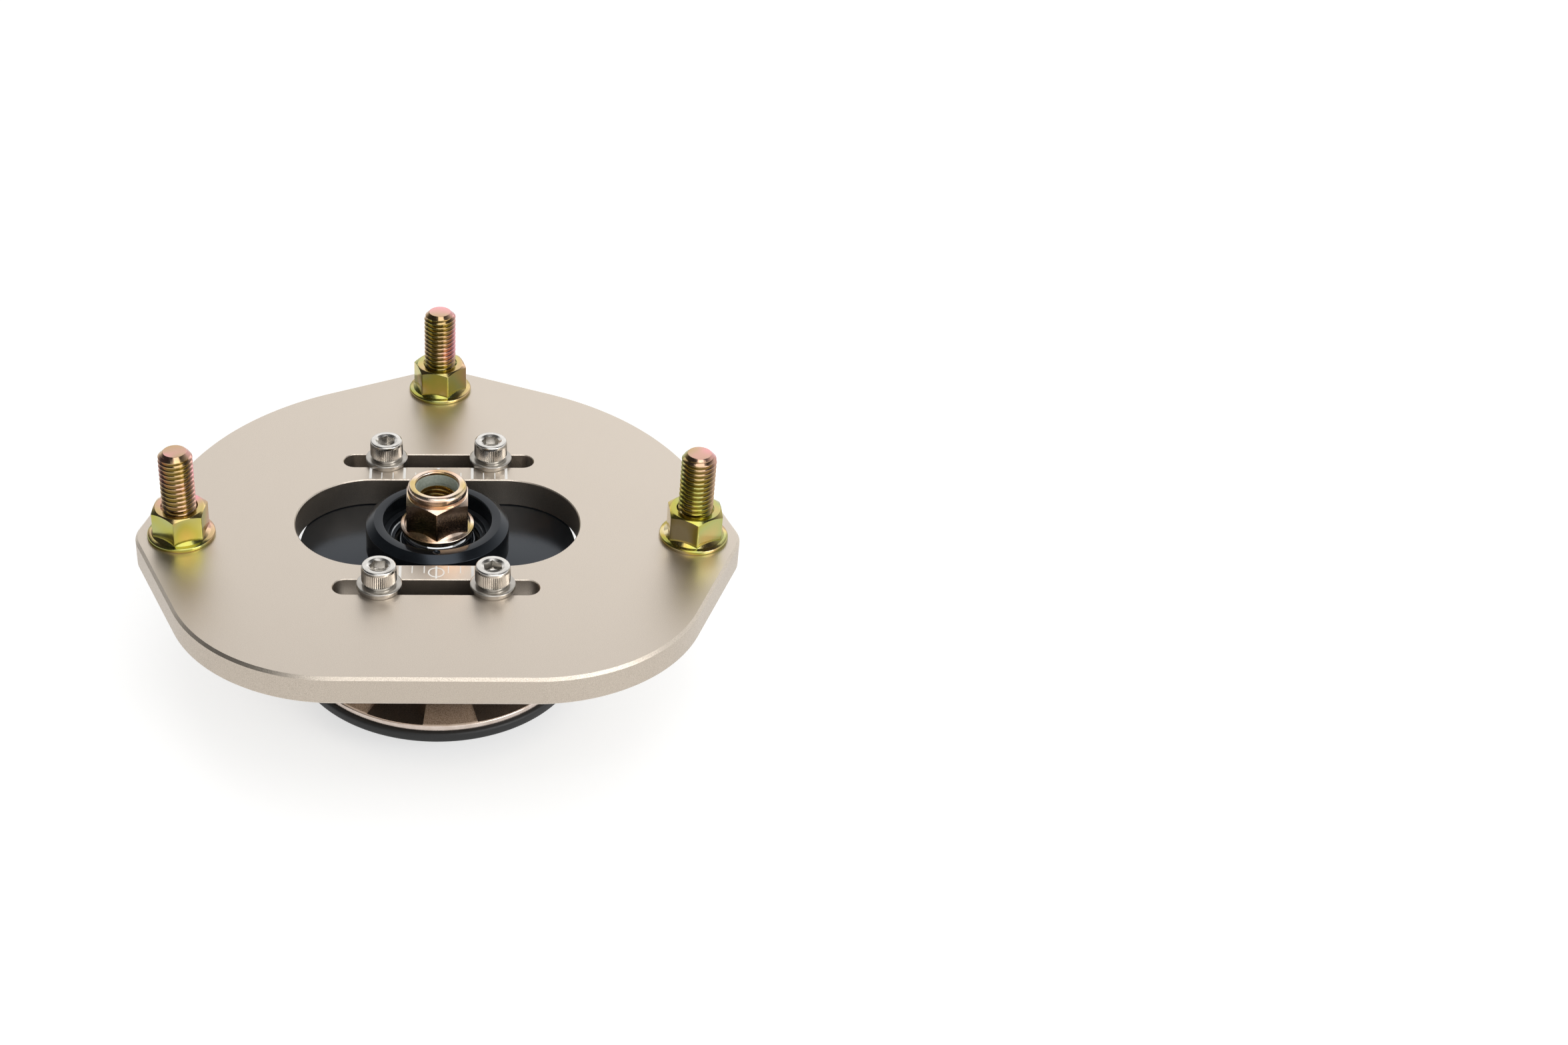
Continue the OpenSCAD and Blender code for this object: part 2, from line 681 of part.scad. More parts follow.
module spring_seat() {
    rim_r = seat_rim_d / 2;
    slope = atan(0.6 / (seat_r - pocket_in_r));
    color("#8A7D71") difference() {
        rotate_extrude() polygon([
            [seat_bore_r - 1.1, seat_top_z], [rim_r - lip_break, seat_top_z],
            [rim_r, seat_top_z - lip_break], [seat_r - lip_break, lip_top_z],
            [seat_r, lip_top_z - lip_break], [seat_r, seat_under_z],
            [seat_hub_d / 2, seat_under_z], [seat_hub_d / 2, seat_hub_z],
            [seat_bore_r, seat_hub_z], [seat_bore_r, -bearing_top_z],
            [seat_bore_r - 1.1, -bearing_top_z]]);
        translate([0, 0, bearing_bottom_z - seat_clip_t - thread_gap])
            cylinder(h = seat_clip_t + thread_gap, r = seat_groove_r);
        for (i = [0:pockets_n - 1])
            rotate([0, 0, i * 360 / pockets_n - 90 + pocket_turn])
                translate([pocket_in_r, 0, lip_top_z + 0.4]) rotate([0, slope, 0]) pocket();
    }
}

// flange under the seat, and the pilot that centres the spring
module spring_isolator() {
    r = isolator_d / 2;
    pilot_r = pilot_d / 2;
    bore = seat_hub_d / 2 + seat_gap;
    e = isolator_round;
    color("#141516") rotate_extrude() polygon(concat(
        [[bore, seat_under_z], [r - e, seat_under_z]],
        arc([r - e, seat_under_z - e], e, 90, 0),
        arc([r - e, flange_bottom_z + e], e, 0, -90),
        [[pilot_r, flange_bottom_z], [pilot_r, pilot_bottom_z + e]],
        arc([pilot_r - e, pilot_bottom_z + e], e, 0, -90),
        [[bore, pilot_bottom_z]]));
}

top_plate();
mounting_studs();
flange_nuts();
bearing_carrier();
clamp_screws();
flat_washers();
ball_circlip();
ball_race();
retaining_ring();
ring_screws();
upper_liner();
lower_liner();
pillow_ball();
top_collar();
lower_spacer();
lock_nut();
nylon_insert();
bearing_inner_race();
bearing_balls();
ball_cage();
bearing_outer_race();
upper_seal();
lower_seal();
bearing_circlip();
spring_seat();
spring_isolator();
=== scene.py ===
import math

import bmesh
import bpy
from mathutils import Matrix, Vector


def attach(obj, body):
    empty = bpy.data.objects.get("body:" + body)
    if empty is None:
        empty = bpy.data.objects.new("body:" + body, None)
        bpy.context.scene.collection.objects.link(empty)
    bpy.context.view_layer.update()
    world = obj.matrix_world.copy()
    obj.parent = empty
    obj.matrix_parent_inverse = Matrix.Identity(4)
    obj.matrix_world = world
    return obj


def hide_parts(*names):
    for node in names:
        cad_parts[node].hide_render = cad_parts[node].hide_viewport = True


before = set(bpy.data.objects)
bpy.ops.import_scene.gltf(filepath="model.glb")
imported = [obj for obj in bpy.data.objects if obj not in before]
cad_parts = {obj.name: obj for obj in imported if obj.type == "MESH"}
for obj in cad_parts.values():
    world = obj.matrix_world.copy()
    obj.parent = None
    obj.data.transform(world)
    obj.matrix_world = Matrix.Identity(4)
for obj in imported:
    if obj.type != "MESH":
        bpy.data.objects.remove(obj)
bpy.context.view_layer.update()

mm = 0.001               # sizes below are in millimetres, Blender works in metres
up = (0, 0, 1)


# helpers: the sizes they take are in millimetres and the turns in degrees
def deselectAll():
    if bpy.context.mode != "OBJECT":
        bpy.ops.object.mode_set(mode="OBJECT")
    bpy.ops.object.select_all(action="DESELECT")


def makeActive(piece):
    deselectAll()
    piece.select_set(True)
    bpy.context.view_layer.objects.active = piece


def roundCorners(outline, segments=4):
    # a point with a third number gets an arc of that radius
    softened = []
    for i, point in enumerate(outline):
        if len(point) < 3 or point[2] == 0:
            softened.append(Vector(point[:2]))
            continue
        here = Vector(point[:2])
        toLast = Vector(outline[i - 1][:2]) - here
        toNext = Vector(outline[(i + 1) % len(outline)][:2]) - here
        halfAngle = toLast.angle(toNext) / 2
        reach = min(point[2] / math.tan(halfAngle), toLast.length * 0.48, toNext.length * 0.48)
        radius = reach * math.tan(halfAngle)
        bisector = (toLast.normalized() + toNext.normalized()).normalized()
        centre = here + bisector * (radius / math.sin(halfAngle))
        start = here + toLast.normalized() * reach - centre
        end = here + toNext.normalized() * reach - centre
        sweep = start.angle(end)
        for step in range(segments + 1):
            share = step / segments
            softened.append(centre + (start * math.sin((1 - share) * sweep)
                                      + end * math.sin(share * sweep)) / math.sin(sweep))
    return softened


def drawOutline(name, points, closed):
    # one vertex drawn out from point to point
    deselectAll()
    bpy.ops.mesh.primitive_plane_add(size=mm, location=(0, 0, 0))
    piece = bpy.context.object
    piece.name = name
    bpy.ops.object.mode_set(mode="EDIT")
    bpy.ops.mesh.select_mode(type="VERT")
    bpy.ops.mesh.merge(type="CENTER")
    points = [Vector(point) * mm for point in points]
    bpy.ops.transform.translate(value=points[0])
    last = points[0]
    for point in points[1:] + points[:int(closed)]:
        bpy.ops.mesh.extrude_region_move(TRANSFORM_OT_translate={"value": point - last})
        last = point
    bpy.ops.mesh.select_all(action="SELECT")
    bpy.ops.mesh.remove_doubles(threshold=mm / 1000)
    return piece


def turnPiece(name, outline, steps=128, segments=4):
    # half a section, as on a lathe drawing, spun round Z
    points = roundCorners(outline, segments)
    openOnAxis = points[0][0] == 0 and points[-1][0] == 0
    piece = drawOutline(name, [(r, 0, z) for r, z in points], not openOnAxis)
    bpy.ops.mesh.spin(steps=steps, angle=2 * math.pi, center=(0, 0, 0), axis=up)
    bpy.ops.mesh.select_all(action="SELECT")
    bpy.ops.mesh.remove_doubles(threshold=mm / 1000)
    bpy.ops.mesh.normals_make_consistent(inside=False)
    bpy.ops.object.mode_set(mode="OBJECT")
    return piece


def prism(name, plan, low, high):
    # a plan filled at one height and drawn up to the other
    piece = drawOutline(name, [(x, y, low) for x, y in plan], True)
    bpy.ops.mesh.edge_face_add()
    bpy.ops.mesh.extrude_region_move(TRANSFORM_OT_translate={"value": (0, 0, (high - low) * mm)})
    bpy.ops.mesh.select_all(action="SELECT")
    bpy.ops.mesh.normals_make_consistent(inside=False)
    bpy.ops.object.mode_set(mode="OBJECT")
    return piece


def arc(radius, start, end, steps, at=(0, 0)):
    # points along an arc, with its angles in degrees
    angles = [math.radians(start + (end - start) * i / steps) for i in range(steps + 1)]
    return [(at[0] + radius * math.cos(a), at[1] + radius * math.sin(a)) for a in angles]


def wrapRound(points):
    # the outline of a band stretched round the points
    def half(ordered):
        chain = []
        for point in ordered:
            while len(chain) > 1:
                (x1, y1), (x2, y2) = chain[-2:]
                if (x2 - x1) * (point[1] - y1) > (y2 - y1) * (point[0] - x1):
                    break
                chain.pop()
            chain.append(point)
        return chain[:-1]
    ordered = sorted(points)
    return half(ordered) + half(ordered[::-1])


def select(piece, kind, test):
    # in edit mode, picks vertices, edges or faces by place; test gets points in millimetres
    makeActive(piece)
    bpy.ops.object.mode_set(mode="EDIT")
    bpy.ops.mesh.select_mode(type=kind)
    bpy.ops.mesh.select_all(action="DESELECT")
    mesh = bmesh.from_edit_mesh(piece.data)
    groups = {"VERT": mesh.verts, "EDGE": mesh.edges, "FACE": mesh.faces}
    for part in groups[kind]:
        corners = [part] if kind == "VERT" else part.verts
        if test([corner.co / mm for corner in corners]):
            part.select_set(True)
    mesh.select_flush_mode()
    bmesh.update_edit_mesh(piece.data)


def bevelEdges(piece, test, width, segments=1):
    select(piece, "EDGE", test)
    bpy.ops.mesh.bevel(offset=width * mm, segments=segments, affect="EDGES")
    bpy.ops.object.mode_set(mode="OBJECT")


def combine(piece, tool, operation):
    # a boolean that is applied at once, after which the tool is gone
    makeActive(piece)
    cut = piece.modifiers.new("combine", "BOOLEAN")
    cut.object = tool
    cut.operation = operation
    cut.solver = "EXACT"
    bpy.ops.object.modifier_apply(modifier=cut.name)
    makeActive(tool)
    bpy.ops.object.delete()
    makeActive(piece)
    return piece


def cylinder(name, radius, low, high, at=(0, 0), sides=96, turn=0):
    deselectAll()
    bpy.ops.mesh.primitive_cylinder_add(
        vertices=sides, radius=radius * mm, depth=(high - low) * mm,
        location=(at[0] * mm, at[1] * mm, (low + high) / 2 * mm),
        rotation=(0, 0, math.radians(turn)))
    piece = bpy.context.object
    piece.name = name
    bpy.ops.object.transform_apply(location=True, rotation=True, scale=True)
    return piece


def slotTool(length, width, low, high, y=0):
    # a cylinder pulled apart along X, turned by half a step so that no vertex is at X = 0
    tool = cylinder("slotTool", width / 2, low, high, (0, y), 126, 180 / 126)
    pull = (length - width) / 2
    for side in (-1, 1):
        select(tool, "VERT", lambda points: points[0].x * side > 0)
        bpy.ops.transform.translate(value=(side * pull * mm, 0, 0))
    bpy.ops.object.mode_set(mode="OBJECT")
    return tool


def copyTo(piece, place, turn=0):
    # a copy with a mesh of its own, turned about its axis and moved
    makeActive(piece)
    bpy.ops.object.duplicate()
    twin = bpy.context.object
    twin.matrix_world = (Matrix.Translation(Vector(place) * mm)
                         @ Matrix.Rotation(math.radians(turn), 4, "Z"))
    bpy.ops.object.transform_apply(location=True, rotation=True, scale=True)
    return twin


def joinAll(name, parts):
    deselectAll()
    for part in parts:
        part.select_set(True)
    bpy.context.view_layer.objects.active = parts[0]
    bpy.ops.object.join()
    parts[0].name = name
    return parts[0]


def remove(piece):
    makeActive(piece)
    bpy.ops.object.delete()


def finishPiece(piece, material, smoothAngle=30, others=()):
    # smooth shading up to a dihedral angle; others holds further finishes, each with a test
    # that gets a face's centre in millimetres and its normal
    makeActive(piece)
    bpy.ops.object.shade_smooth_by_angle(angle=math.radians(smoothAngle))
    piece.data.materials.clear()
    piece.data.materials.append(material)
    for index, (other, test) in enumerate(others):
        piece.data.materials.append(other)
        for face in piece.data.polygons:
            if test(face.center / mm, face.normal):
                face.material_index = index + 1
    deselectAll()


# materials: colours are sRGB hex values, and pattern sizes are in millimetres
def linear(hexColour):
    # an sRGB hex value as the linear numbers that a shader takes
    channels = [int(hexColour[i:i + 2], 16) / 255 for i in (1, 3, 5)]
    return tuple(c / 12.92 if c <= 0.04045 else ((c + 0.055) / 1.055) ** 2.4
                 for c in channels) + (1,)


def addNode(material, kind, settings=None, links=None, stops=None):
    # a node with its settings, its links and, on a colour ramp, its stops
    node = material.node_tree.nodes.new(kind)
    for name, value in (settings or {}).items():
        if hasattr(node, str(name)):
            setattr(node, name, value)
        else:
            node.inputs[name].default_value = value
    for name, source in (links or {}).items():
        material.node_tree.links.new(source, node.inputs[name])
    if stops:
        ramp = node.color_ramp
        while len(ramp.elements) < len(stops):
            ramp.elements.new(0.5)
        for element, (place, colour) in zip(ramp.elements, stops):
            element.position = place
            element.color = linear(colour)
    return node


def newMaterial(name):
    material = bpy.data.materials.new(name)
    material.use_nodes = True
    material.node_tree.nodes.clear()
    place = addNode(material, "ShaderNodeTexCoord")
    return material, place


def perMetre(size):
    # the scale at which a noise has features of about this size in millimetres
    return 1 / (size * mm)


def perWave(spacing):
    # the scale at which a wave texture's bands are this many millimetres apart
    return math.pi / 10 / (spacing * mm)


def blastedAnodise(name, colour, darker, grain, roughness, height, sparkle):
    # aluminium blasted with glass beads and then anodised: a satin metal whose tiny craters
    # break every highlight into a fine sparkle; real craters are about 0.1 mm wide and are
    # drawn at two to three times that so that they show
    material, place = newMaterial(name)
    craters = addNode(material, "ShaderNodeTexNoise",
                      {"Scale": perMetre(grain), "Detail": 2.0, "Roughness": 0.6},
                      {"Vector": place.outputs["Object"]})
    tone = addNode(material, "ShaderNodeValToRGB", links={"Fac": craters.outputs["Fac"]},
                   stops=[(0.34, darker), (0.62, colour)])
    gloss = addNode(material, "ShaderNodeMapRange",
                    {"From Min": 0.3, "From Max": 0.7,
                     "To Min": roughness + sparkle, "To Max": roughness - sparkle},
                    {"Value": craters.outputs["Fac"]})
    relief = addNode(material, "ShaderNodeBump",
                     {"Strength": 0.5, "Distance": height * mm},
                     {"Height": craters.outputs["Fac"]})
    surface = addNode(material, "ShaderNodeBsdfPrincipled", {"Metallic": 1.0},
                      {"Base Color": tone.outputs["Color"],
                       "Roughness": gloss.outputs["Result"],
                       "Normal": relief.outputs["Normal"]})
    addNode(material, "ShaderNodeOutputMaterial", links={"Surface": surface.outputs[0]})
    return material


def chromatedZinc(name, stops, patch, roughness, lean=(0, 0, 0), start=0.0):
    # zinc plate passivated to a thin clear film: the film's thickness drifts over the part, and
    # the colour is also shifted by the way each face points, which is painted light, so one face
    # looks gold, the next green and the next rose; patch is the drift's width, and lean is the
    # film's change per metre along X, Y and Z, which turns the studs' tips rose
    material, place = newMaterial(name)
    drift = addNode(material, "ShaderNodeTexNoise",
                    {"Scale": perMetre(patch), "Detail": 1.0, "Roughness": 0.4},
                    {"Vector": place.outputs["Object"]})
    # painted light: the ramp is pushed on for faces turned up, to the right and a little to the
    # front
    paintedFacingLight = addNode(material, "ShaderNodeVectorMath",
                     {"operation": "DOT_PRODUCT", 1: (0.10, -0.05, 0.13)},
                     {0: place.outputs["Normal"]})
    trend = addNode(material, "ShaderNodeVectorMath", {"operation": "DOT_PRODUCT", 1: lean},
                    {0: place.outputs["Object"]})
    filmAndPaintedLight = addNode(material, "ShaderNodeMath", {"operation": "ADD"},
                   {0: drift.outputs["Fac"], 1: paintedFacingLight.outputs["Value"]})
    filmAndPaintedLight = addNode(material, "ShaderNodeMath", {"operation": "ADD"},
                   {0: filmAndPaintedLight.outputs[0], 1: trend.outputs["Value"]})
    filmAndPaintedLight = addNode(material, "ShaderNodeMath", {"operation": "ADD", 1: start},
                   {0: filmAndPaintedLight.outputs[0]})
    colour = addNode(material, "ShaderNodeValToRGB", links={"Fac": filmAndPaintedLight.outputs[0]}, stops=stops)
    fine = addNode(material, "ShaderNodeTexNoise",
                   {"Scale": perMetre(0.5), "Detail": 3.0},
                   {"Vector": place.outputs["Object"]})
    gloss = addNode(material, "ShaderNodeMapRange",
                    {"From Min": 0.3, "From Max": 0.7,
                     "To Min": roughness * 0.7, "To Max": roughness * 1.35},
                    {"Value": fine.outputs["Fac"]})
    relief = addNode(material, "ShaderNodeBump", {"Strength": 0.15, "Distance": 0.015 * mm},
                     {"Height": fine.outputs["Fac"]})
    surface = addNode(material, "ShaderNodeBsdfPrincipled", {"Metallic": 1.0},
                      {"Base Color": colour.outputs["Color"],
                       "Roughness": gloss.outputs["Result"],
                       "Normal": relief.outputs["Normal"]})
    addNode(material, "ShaderNodeOutputMaterial", links={"Surface": surface.outputs[0]})
    return material


def turnedMetal(name, colour, darker, lineWidth, roughness, strength, settings=None):
    # turned on a lathe: fine rings round the axis break the gloss; real ones are about 0.1 mm
    # apart and are drawn at four to ten times that so that they show; an anisotropic finish
    # stretches its highlights across the rings
    material, place = newMaterial(name)
    rings = addNode(material, "ShaderNodeTexWave",
                    {"wave_type": "RINGS", "rings_direction": "Z",
                     "Scale": perWave(lineWidth), "Distortion": 0.6, "Detail": 2.0},
                    {"Vector": place.outputs["Object"]})
    drift = addNode(material, "ShaderNodeTexNoise",
                    {"Scale": perMetre(2.5), "Detail": 3.0},
                    {"Vector": place.outputs["Object"]})
    tone = addNode(material, "ShaderNodeValToRGB", links={"Fac": drift.outputs["Fac"]},
                   stops=[(0.3, darker), (0.7, colour)])
    gloss = addNode(material, "ShaderNodeMapRange",
                    {"To Min": roughness * 0.85, "To Max": roughness * 1.15},
                    {"Value": drift.outputs["Fac"]})
    relief = addNode(material, "ShaderNodeBump", {"Strength": strength, "Distance": 0.01 * mm},
                     {"Height": rings.outputs["Fac"]})
    links = {"Base Color": tone.outputs["Color"], "Roughness": gloss.outputs["Result"],
             "Normal": relief.outputs["Normal"]}
    settings = settings or {"Metallic": 1.0}
    if "Anisotropic" in settings:
        around = addNode(material, "ShaderNodeTangent", {"direction_type": "RADIAL", "axis": "Z"})
        links["Tangent"] = around.outputs["Tangent"]
    surface = addNode(material, "ShaderNodeBsdfPrincipled", settings, links)
    addNode(material, "ShaderNodeOutputMaterial", links={"Surface": surface.outputs[0]})
    return material


def mouldedPlastic(name, colour, darker, grain, roughness, height):
    # moulded or machined plastic: no metal in its reflections, and a fine grain
    material, place = newMaterial(name)
    skin = addNode(material, "ShaderNodeTexNoise", {"Scale": perMetre(grain), "Detail": 4.0},
                   {"Vector": place.outputs["Object"]})
    tone = addNode(material, "ShaderNodeValToRGB", links={"Fac": skin.outputs["Fac"]},
                   stops=[(0.35, darker), (0.65, colour)])
    gloss = addNode(material, "ShaderNodeMapRange",
                    {"To Min": roughness - 0.06, "To Max": roughness + 0.06},
                    {"Value": skin.outputs["Fac"]})
    relief = addNode(material, "ShaderNodeBump", {"Strength": 0.4, "Distance": height * mm},
                     {"Height": skin.outputs["Fac"]})
    surface = addNode(material, "ShaderNodeBsdfPrincipled", {"IOR": 1.5},
                      {"Base Color": tone.outputs["Color"],
                       "Roughness": gloss.outputs["Result"],
                       "Normal": relief.outputs["Normal"]})
    addNode(material, "ShaderNodeOutputMaterial", links={"Surface": surface.outputs[0]})
    return material


# the plate's faces: pale, even champagne with a fine sparkle
champagneAnodise = blastedAnodise(
    "champagneAnodise", "#D6CBBE", "#CBC0B3", 0.20, 0.38, 0.045, 0.07)
# its upright sides: a darker copy of the finish that paints in the shade they lie in, with a
# coarser grain of their own
champagnePaintedShadeSide = blastedAnodise("champagnePaintedShadeSide", "#C3B8AB", "#B1A699", 0.22, 0.40, 0.12, 0.12)
# its chamfers: a paler copy of the finish, a painted highlight along the edges
champagnePaintedHighlightEdge = blastedAnodise("champagnePaintedHighlightEdge", "#DCD1C3", "#C6BBAD", 0.25, 0.36, 0.09, 0.10)
# the spring seat: the same blast under a bronze dye, coarse and brown
bronzeAnodise = blastedAnodise("bronzeAnodise", "#A49384", "#7C6B5D", 0.30, 0.38, 0.08, 0.10)
# flange nuts: yellow passivated zinc, gold to green with rose at its thickest
yellowZinc = chromatedZinc("yellowZinc", [
    (0.30, "#D8C9A0"), (0.40, "#C2AC58"), (0.48, "#ADA94F"), (0.57, "#A9AB6C"),
    (0.67, "#BFAA6E"), (0.80, "#C0A082"), (0.93, "#D8959A")], 13, 0.16, (-0.5, 1.0, 5.2), -0.08)
# studs: the same zinc with darker stops
darkerStudZinc = chromatedZinc("darkerStudZinc", [
    (0.30, "#CDBF97"), (0.40, "#AA9549"), (0.48, "#979443"), (0.57, "#9A995F"),
    (0.67, "#B09766"), (0.80, "#BA9A82"), (0.93, "#D8989C")], 13, 0.16, (-0.8, 1.0, 5.4), -0.08)
# lock nut and spacer: a thicker film, straw to rose
roseZinc = chromatedZinc("roseZinc", [
    (0.28, "#CDBD84"), (0.38, "#D8B98C"), (0.47, "#C4A07C"), (0.56, "#E0BFA6"),
    (0.66, "#E6D2C2"), (0.78, "#C8B078")], 12, 0.20)
# the lock nut's tapped thread: plated thin, so plain bright gold
goldThread = turnedMetal("goldThread", "#F0D48A", "#D2AE62", 0.50, 0.22, 0.10)
# stainless steel: cold-headed and bright on the screws, stamped and duller on the washers,
# dull and darker on the ring's screws
stainlessSteel = turnedMetal("stainlessSteel", "#D6D3CE", "#C3BFB9", 0.50, 0.24, 0.12)
stampedStainless = turnedMetal("stampedStainless", "#B8B4AD", "#A39E97", 0.50, 0.30, 0.15)
dullStainless = turnedMetal("dullStainless", "#8C857B", "#6F675E", 0.50, 0.28, 0.15)
# dyed black oxide reflects as glass does, not as metal, and a little blue; lapped faces stay
# black where they would mirror the ceiling
coldSheen = {"Metallic": 0.0, "Anisotropic": 0.3, "Specular Tint": linear("#D0DCEC")}
darkSheen = {"Metallic": 0.0, "Specular IOR Level": 0.36, "Specular Tint": linear("#D4DEEC")}
blackAnodise = turnedMetal("blackAnodise", "#111417", "#0D0F12", 0.80, 0.20, 0.06, coldSheen)
blackLapped = turnedMetal("blackLapped", "#0D0E10", "#090A0C", 0.80, 0.13, 0.03, darkSheen)
# the retaining ring: black anodise over a coarse cut, so its rings show
blackRough = turnedMetal("blackRough", "#17181A", "#0E0F10", 0.60, 0.42, 0.9, coldSheen)
# spring steel with a phosphate coat: dark grey and nearly matt
phosphatedSpring = turnedMetal(
    "phosphatedSpring", "#202225", "#17191B", 0.60, 0.40, 0.2, coldSheen)
# ground bearing steel, and the same polished to a mirror on the balls and the collar
bearingSteel = turnedMetal("bearingSteel", "#B9BBBD", "#A7A9AC", 0.40, 0.20, 0.08)
polishedBall = turnedMetal("polishedBall", "#DADBDD", "#D0D2D4", 1.00, 0.07, 0.02)
# the spring seat's rim, turned bright after the blast and dyed thinly
brightCut = turnedMetal("brightCut", "#D8CBC2", "#C8B9AE", 0.40, 0.22, 0.15)
# moulded and machined plastics and rubbers: soft highlights, no metal
nylonGreyGreen = mouldedPlastic("nylonGreyGreen", "#81877D", "#737A70", 0.6, 0.38, 0.01)
filledPtfe = mouldedPlastic("filledPtfe", "#3A3834", "#2C2A27", 0.4, 0.45, 0.02)
cagePolyamide = mouldedPlastic("cagePolyamide", "#B3A670", "#9C8F5C", 0.5, 0.45, 0.01)
nitrileSeal = mouldedPlastic("nitrileSeal", "#2A2B2D", "#1C1D1F", 0.4, 0.42, 0.02)
isolatorBlack = mouldedPlastic("isolatorBlack", "#0F1011", "#0A0B0C", 0.35, 0.5, 0.05)
# what a marking laser leaves in the anodise: a dry off-white
laserWhite = mouldedPlastic("laserWhite", "#EDEBE7", "#DDDAD4", 0.15, 0.6, 0.01)
print("materials ready")


# camera: distances and lens in millimetres, angles in degrees
camera = {"distance": 608.48, "pitch": 34.01, "turn": -0.802, "roll": -0.229,
          "lens": 47.283, "shiftX": 0.2207, "side": 0.172, "height": 11.513}
swing = Matrix.Rotation(math.radians(-camera["turn"]), 4, "Z")
pitch = math.radians(camera["pitch"])
stand = Vector((camera["side"], -camera["distance"] * math.cos(pitch),
                camera["height"] + camera["distance"] * math.sin(pitch)))
deselectAll()
bpy.ops.object.camera_add()
productCamera = bpy.context.object
productCamera.name = "productCamera"
productCamera.data.sensor_width = 36
productCamera.data.lens = camera["lens"]
productCamera.data.shift_x = camera["shiftX"]
productCamera.data.clip_end = 20
productCamera.matrix_world = (swing @ Matrix.Translation(stand * mm)
                              @ Matrix.Rotation(math.pi / 2 - pitch, 4, "X")
                              @ Matrix.Rotation(math.radians(camera["roll"]), 4, "Z"))
bpy.context.scene.camera = productCamera
bpy.context.scene.view_settings.view_transform = "Standard"

studio = {"floorZ": -45.4,  # millimetres
          "floorSize": 14, "paperNear": 0.8, "paperFar": 2.4,  # metres
          "floorColour": "#B4B4B3", "floorLift": 0.62,
          "worldGlow": 0.5, "darkSide": (-0.26, 0.0, 0.95)}
bpy.ops.mesh.primitive_plane_add(size=studio["floorSize"], location=(0, 0, studio["floorZ"] * mm))
floor = bpy.context.object
floor.name = "floor"
paper = bpy.data.materials.new("paperFloor")
paper.use_nodes = True
paper.node_tree.nodes.clear()
ray = addNode(paper, "ShaderNodeLightPath")
seen = addNode(paper, "ShaderNodeMath", {"operation": "MAXIMUM"},
               {0: ray.outputs["Is Camera Ray"], 1: ray.outputs["Is Glossy Ray"]})
seen = addNode(paper, "ShaderNodeMath", {"operation": "MAXIMUM"},
               {0: seen.outputs[0], 1: ray.outputs["Is Transmission Ray"]})
# the paper is white where it runs up to the backdrop, so that no edge shows behind the part
spot = addNode(paper, "ShaderNodeTexCoord")
away = addNode(paper, "ShaderNodeVectorMath", {"operation": "LENGTH"},
               {0: spot.outputs["Object"]})
fade = addNode(paper, "ShaderNodeMapRange",
               {"From Min": studio["paperNear"], "From Max": studio["paperFar"],
                "To Min": studio["floorLift"], "To Max": 1.0},
               {"Value": away.outputs["Value"]})
lift = addNode(paper, "ShaderNodeMath", {"operation": "MULTIPLY"},
               {0: seen.outputs[0], 1: fade.outputs["Result"]})
matte = addNode(paper, "ShaderNodeBsdfDiffuse", {"Color": linear(studio["floorColour"])})
glow = addNode(paper, "ShaderNodeEmission", {"Color": (1, 1, 1, 1)},
               {"Strength": lift.outputs[0]})
both = addNode(paper, "ShaderNodeAddShader", links={0: matte.outputs[0], 1: glow.outputs[0]})
addNode(paper, "ShaderNodeOutputMaterial", links={"Surface": both.outputs[0]})
floor.data.materials.append(paper)

world = bpy.data.worlds.new("whiteStudio")
bpy.context.scene.world = world
world.use_nodes = True
world.node_tree.nodes.clear()
ray = addNode(world, "ShaderNodeLightPath")
mirrored = addNode(world, "ShaderNodeMath", {"operation": "MAXIMUM"},
                   {0: ray.outputs["Is Glossy Ray"], 1: ray.outputs["Is Transmission Ray"]})
seen = addNode(world, "ShaderNodeMath", {"operation": "MAXIMUM"},
               {0: mirrored.outputs[0], 1: ray.outputs["Is Camera Ray"]})
# the backdrop is white; shiny surfaces also see it fall off to a dark ceiling, sooner on the left
aim = addNode(world, "ShaderNodeTexCoord")
height = addNode(world, "ShaderNodeVectorMath",
                 {"operation": "DOT_PRODUCT", 1: studio["darkSide"]},
                 {0: aim.outputs["Generated"]})
fall = addNode(world, "ShaderNodeValToRGB", links={"Fac": height.outputs["Value"]},
               stops=[(0.2, "#FFFFFF"), (0.42, "#A8A8A8"), (0.62, "#4A4A4A"), (1.0, "#2C2C2C")])
level = addNode(world, "ShaderNodeMapRange", {"To Min": studio["worldGlow"], "To Max": 1.0},
                {"Value": seen.outputs[0]})
shade = addNode(world, "ShaderNodeMix", {"data_type": "RGBA", "A": (1, 1, 1, 1)},
                {"Factor": mirrored.outputs[0], "B": fall.outputs["Color"]})
sky = addNode(world, "ShaderNodeBackground",
              links={"Color": shade.outputs["Result"], "Strength": level.outputs["Result"]})
addNode(world, "ShaderNodeOutputWorld", links={"Surface": sky.outputs[0]})

lamps = {  # place in metres, width and height in metres, watts
    "rearSoftbox": ((0.0, 1.15, 0.85), 1.6, 0.8, 4.4),
    "overheadSoftbox": ((0.1, -0.3, 1.2), 0.7, 0.9, 4.4),
    "frontSoftbox": ((0.2, -1.0, 0.92), 1.7, 1.0, 6.4),
    "rightSoftbox": ((0.62, -0.5, 0.36), 0.4, 0.3, 2.4),
}
for name, (place, width, height, watts) in lamps.items():
    deselectAll()
    bpy.ops.object.light_add(type="AREA", location=place)
    lamp = bpy.context.object
    lamp.name = name
    lamp.data.shape = "RECTANGLE"
    lamp.data.size = width
    lamp.data.size_y = height
    lamp.data.energy = watts
    lamp.rotation_euler = (-Vector(place)).to_track_quat("-Z", "Y").to_euler()
    lamp.visible_camera = False
print("camera, floor and lamps ready")


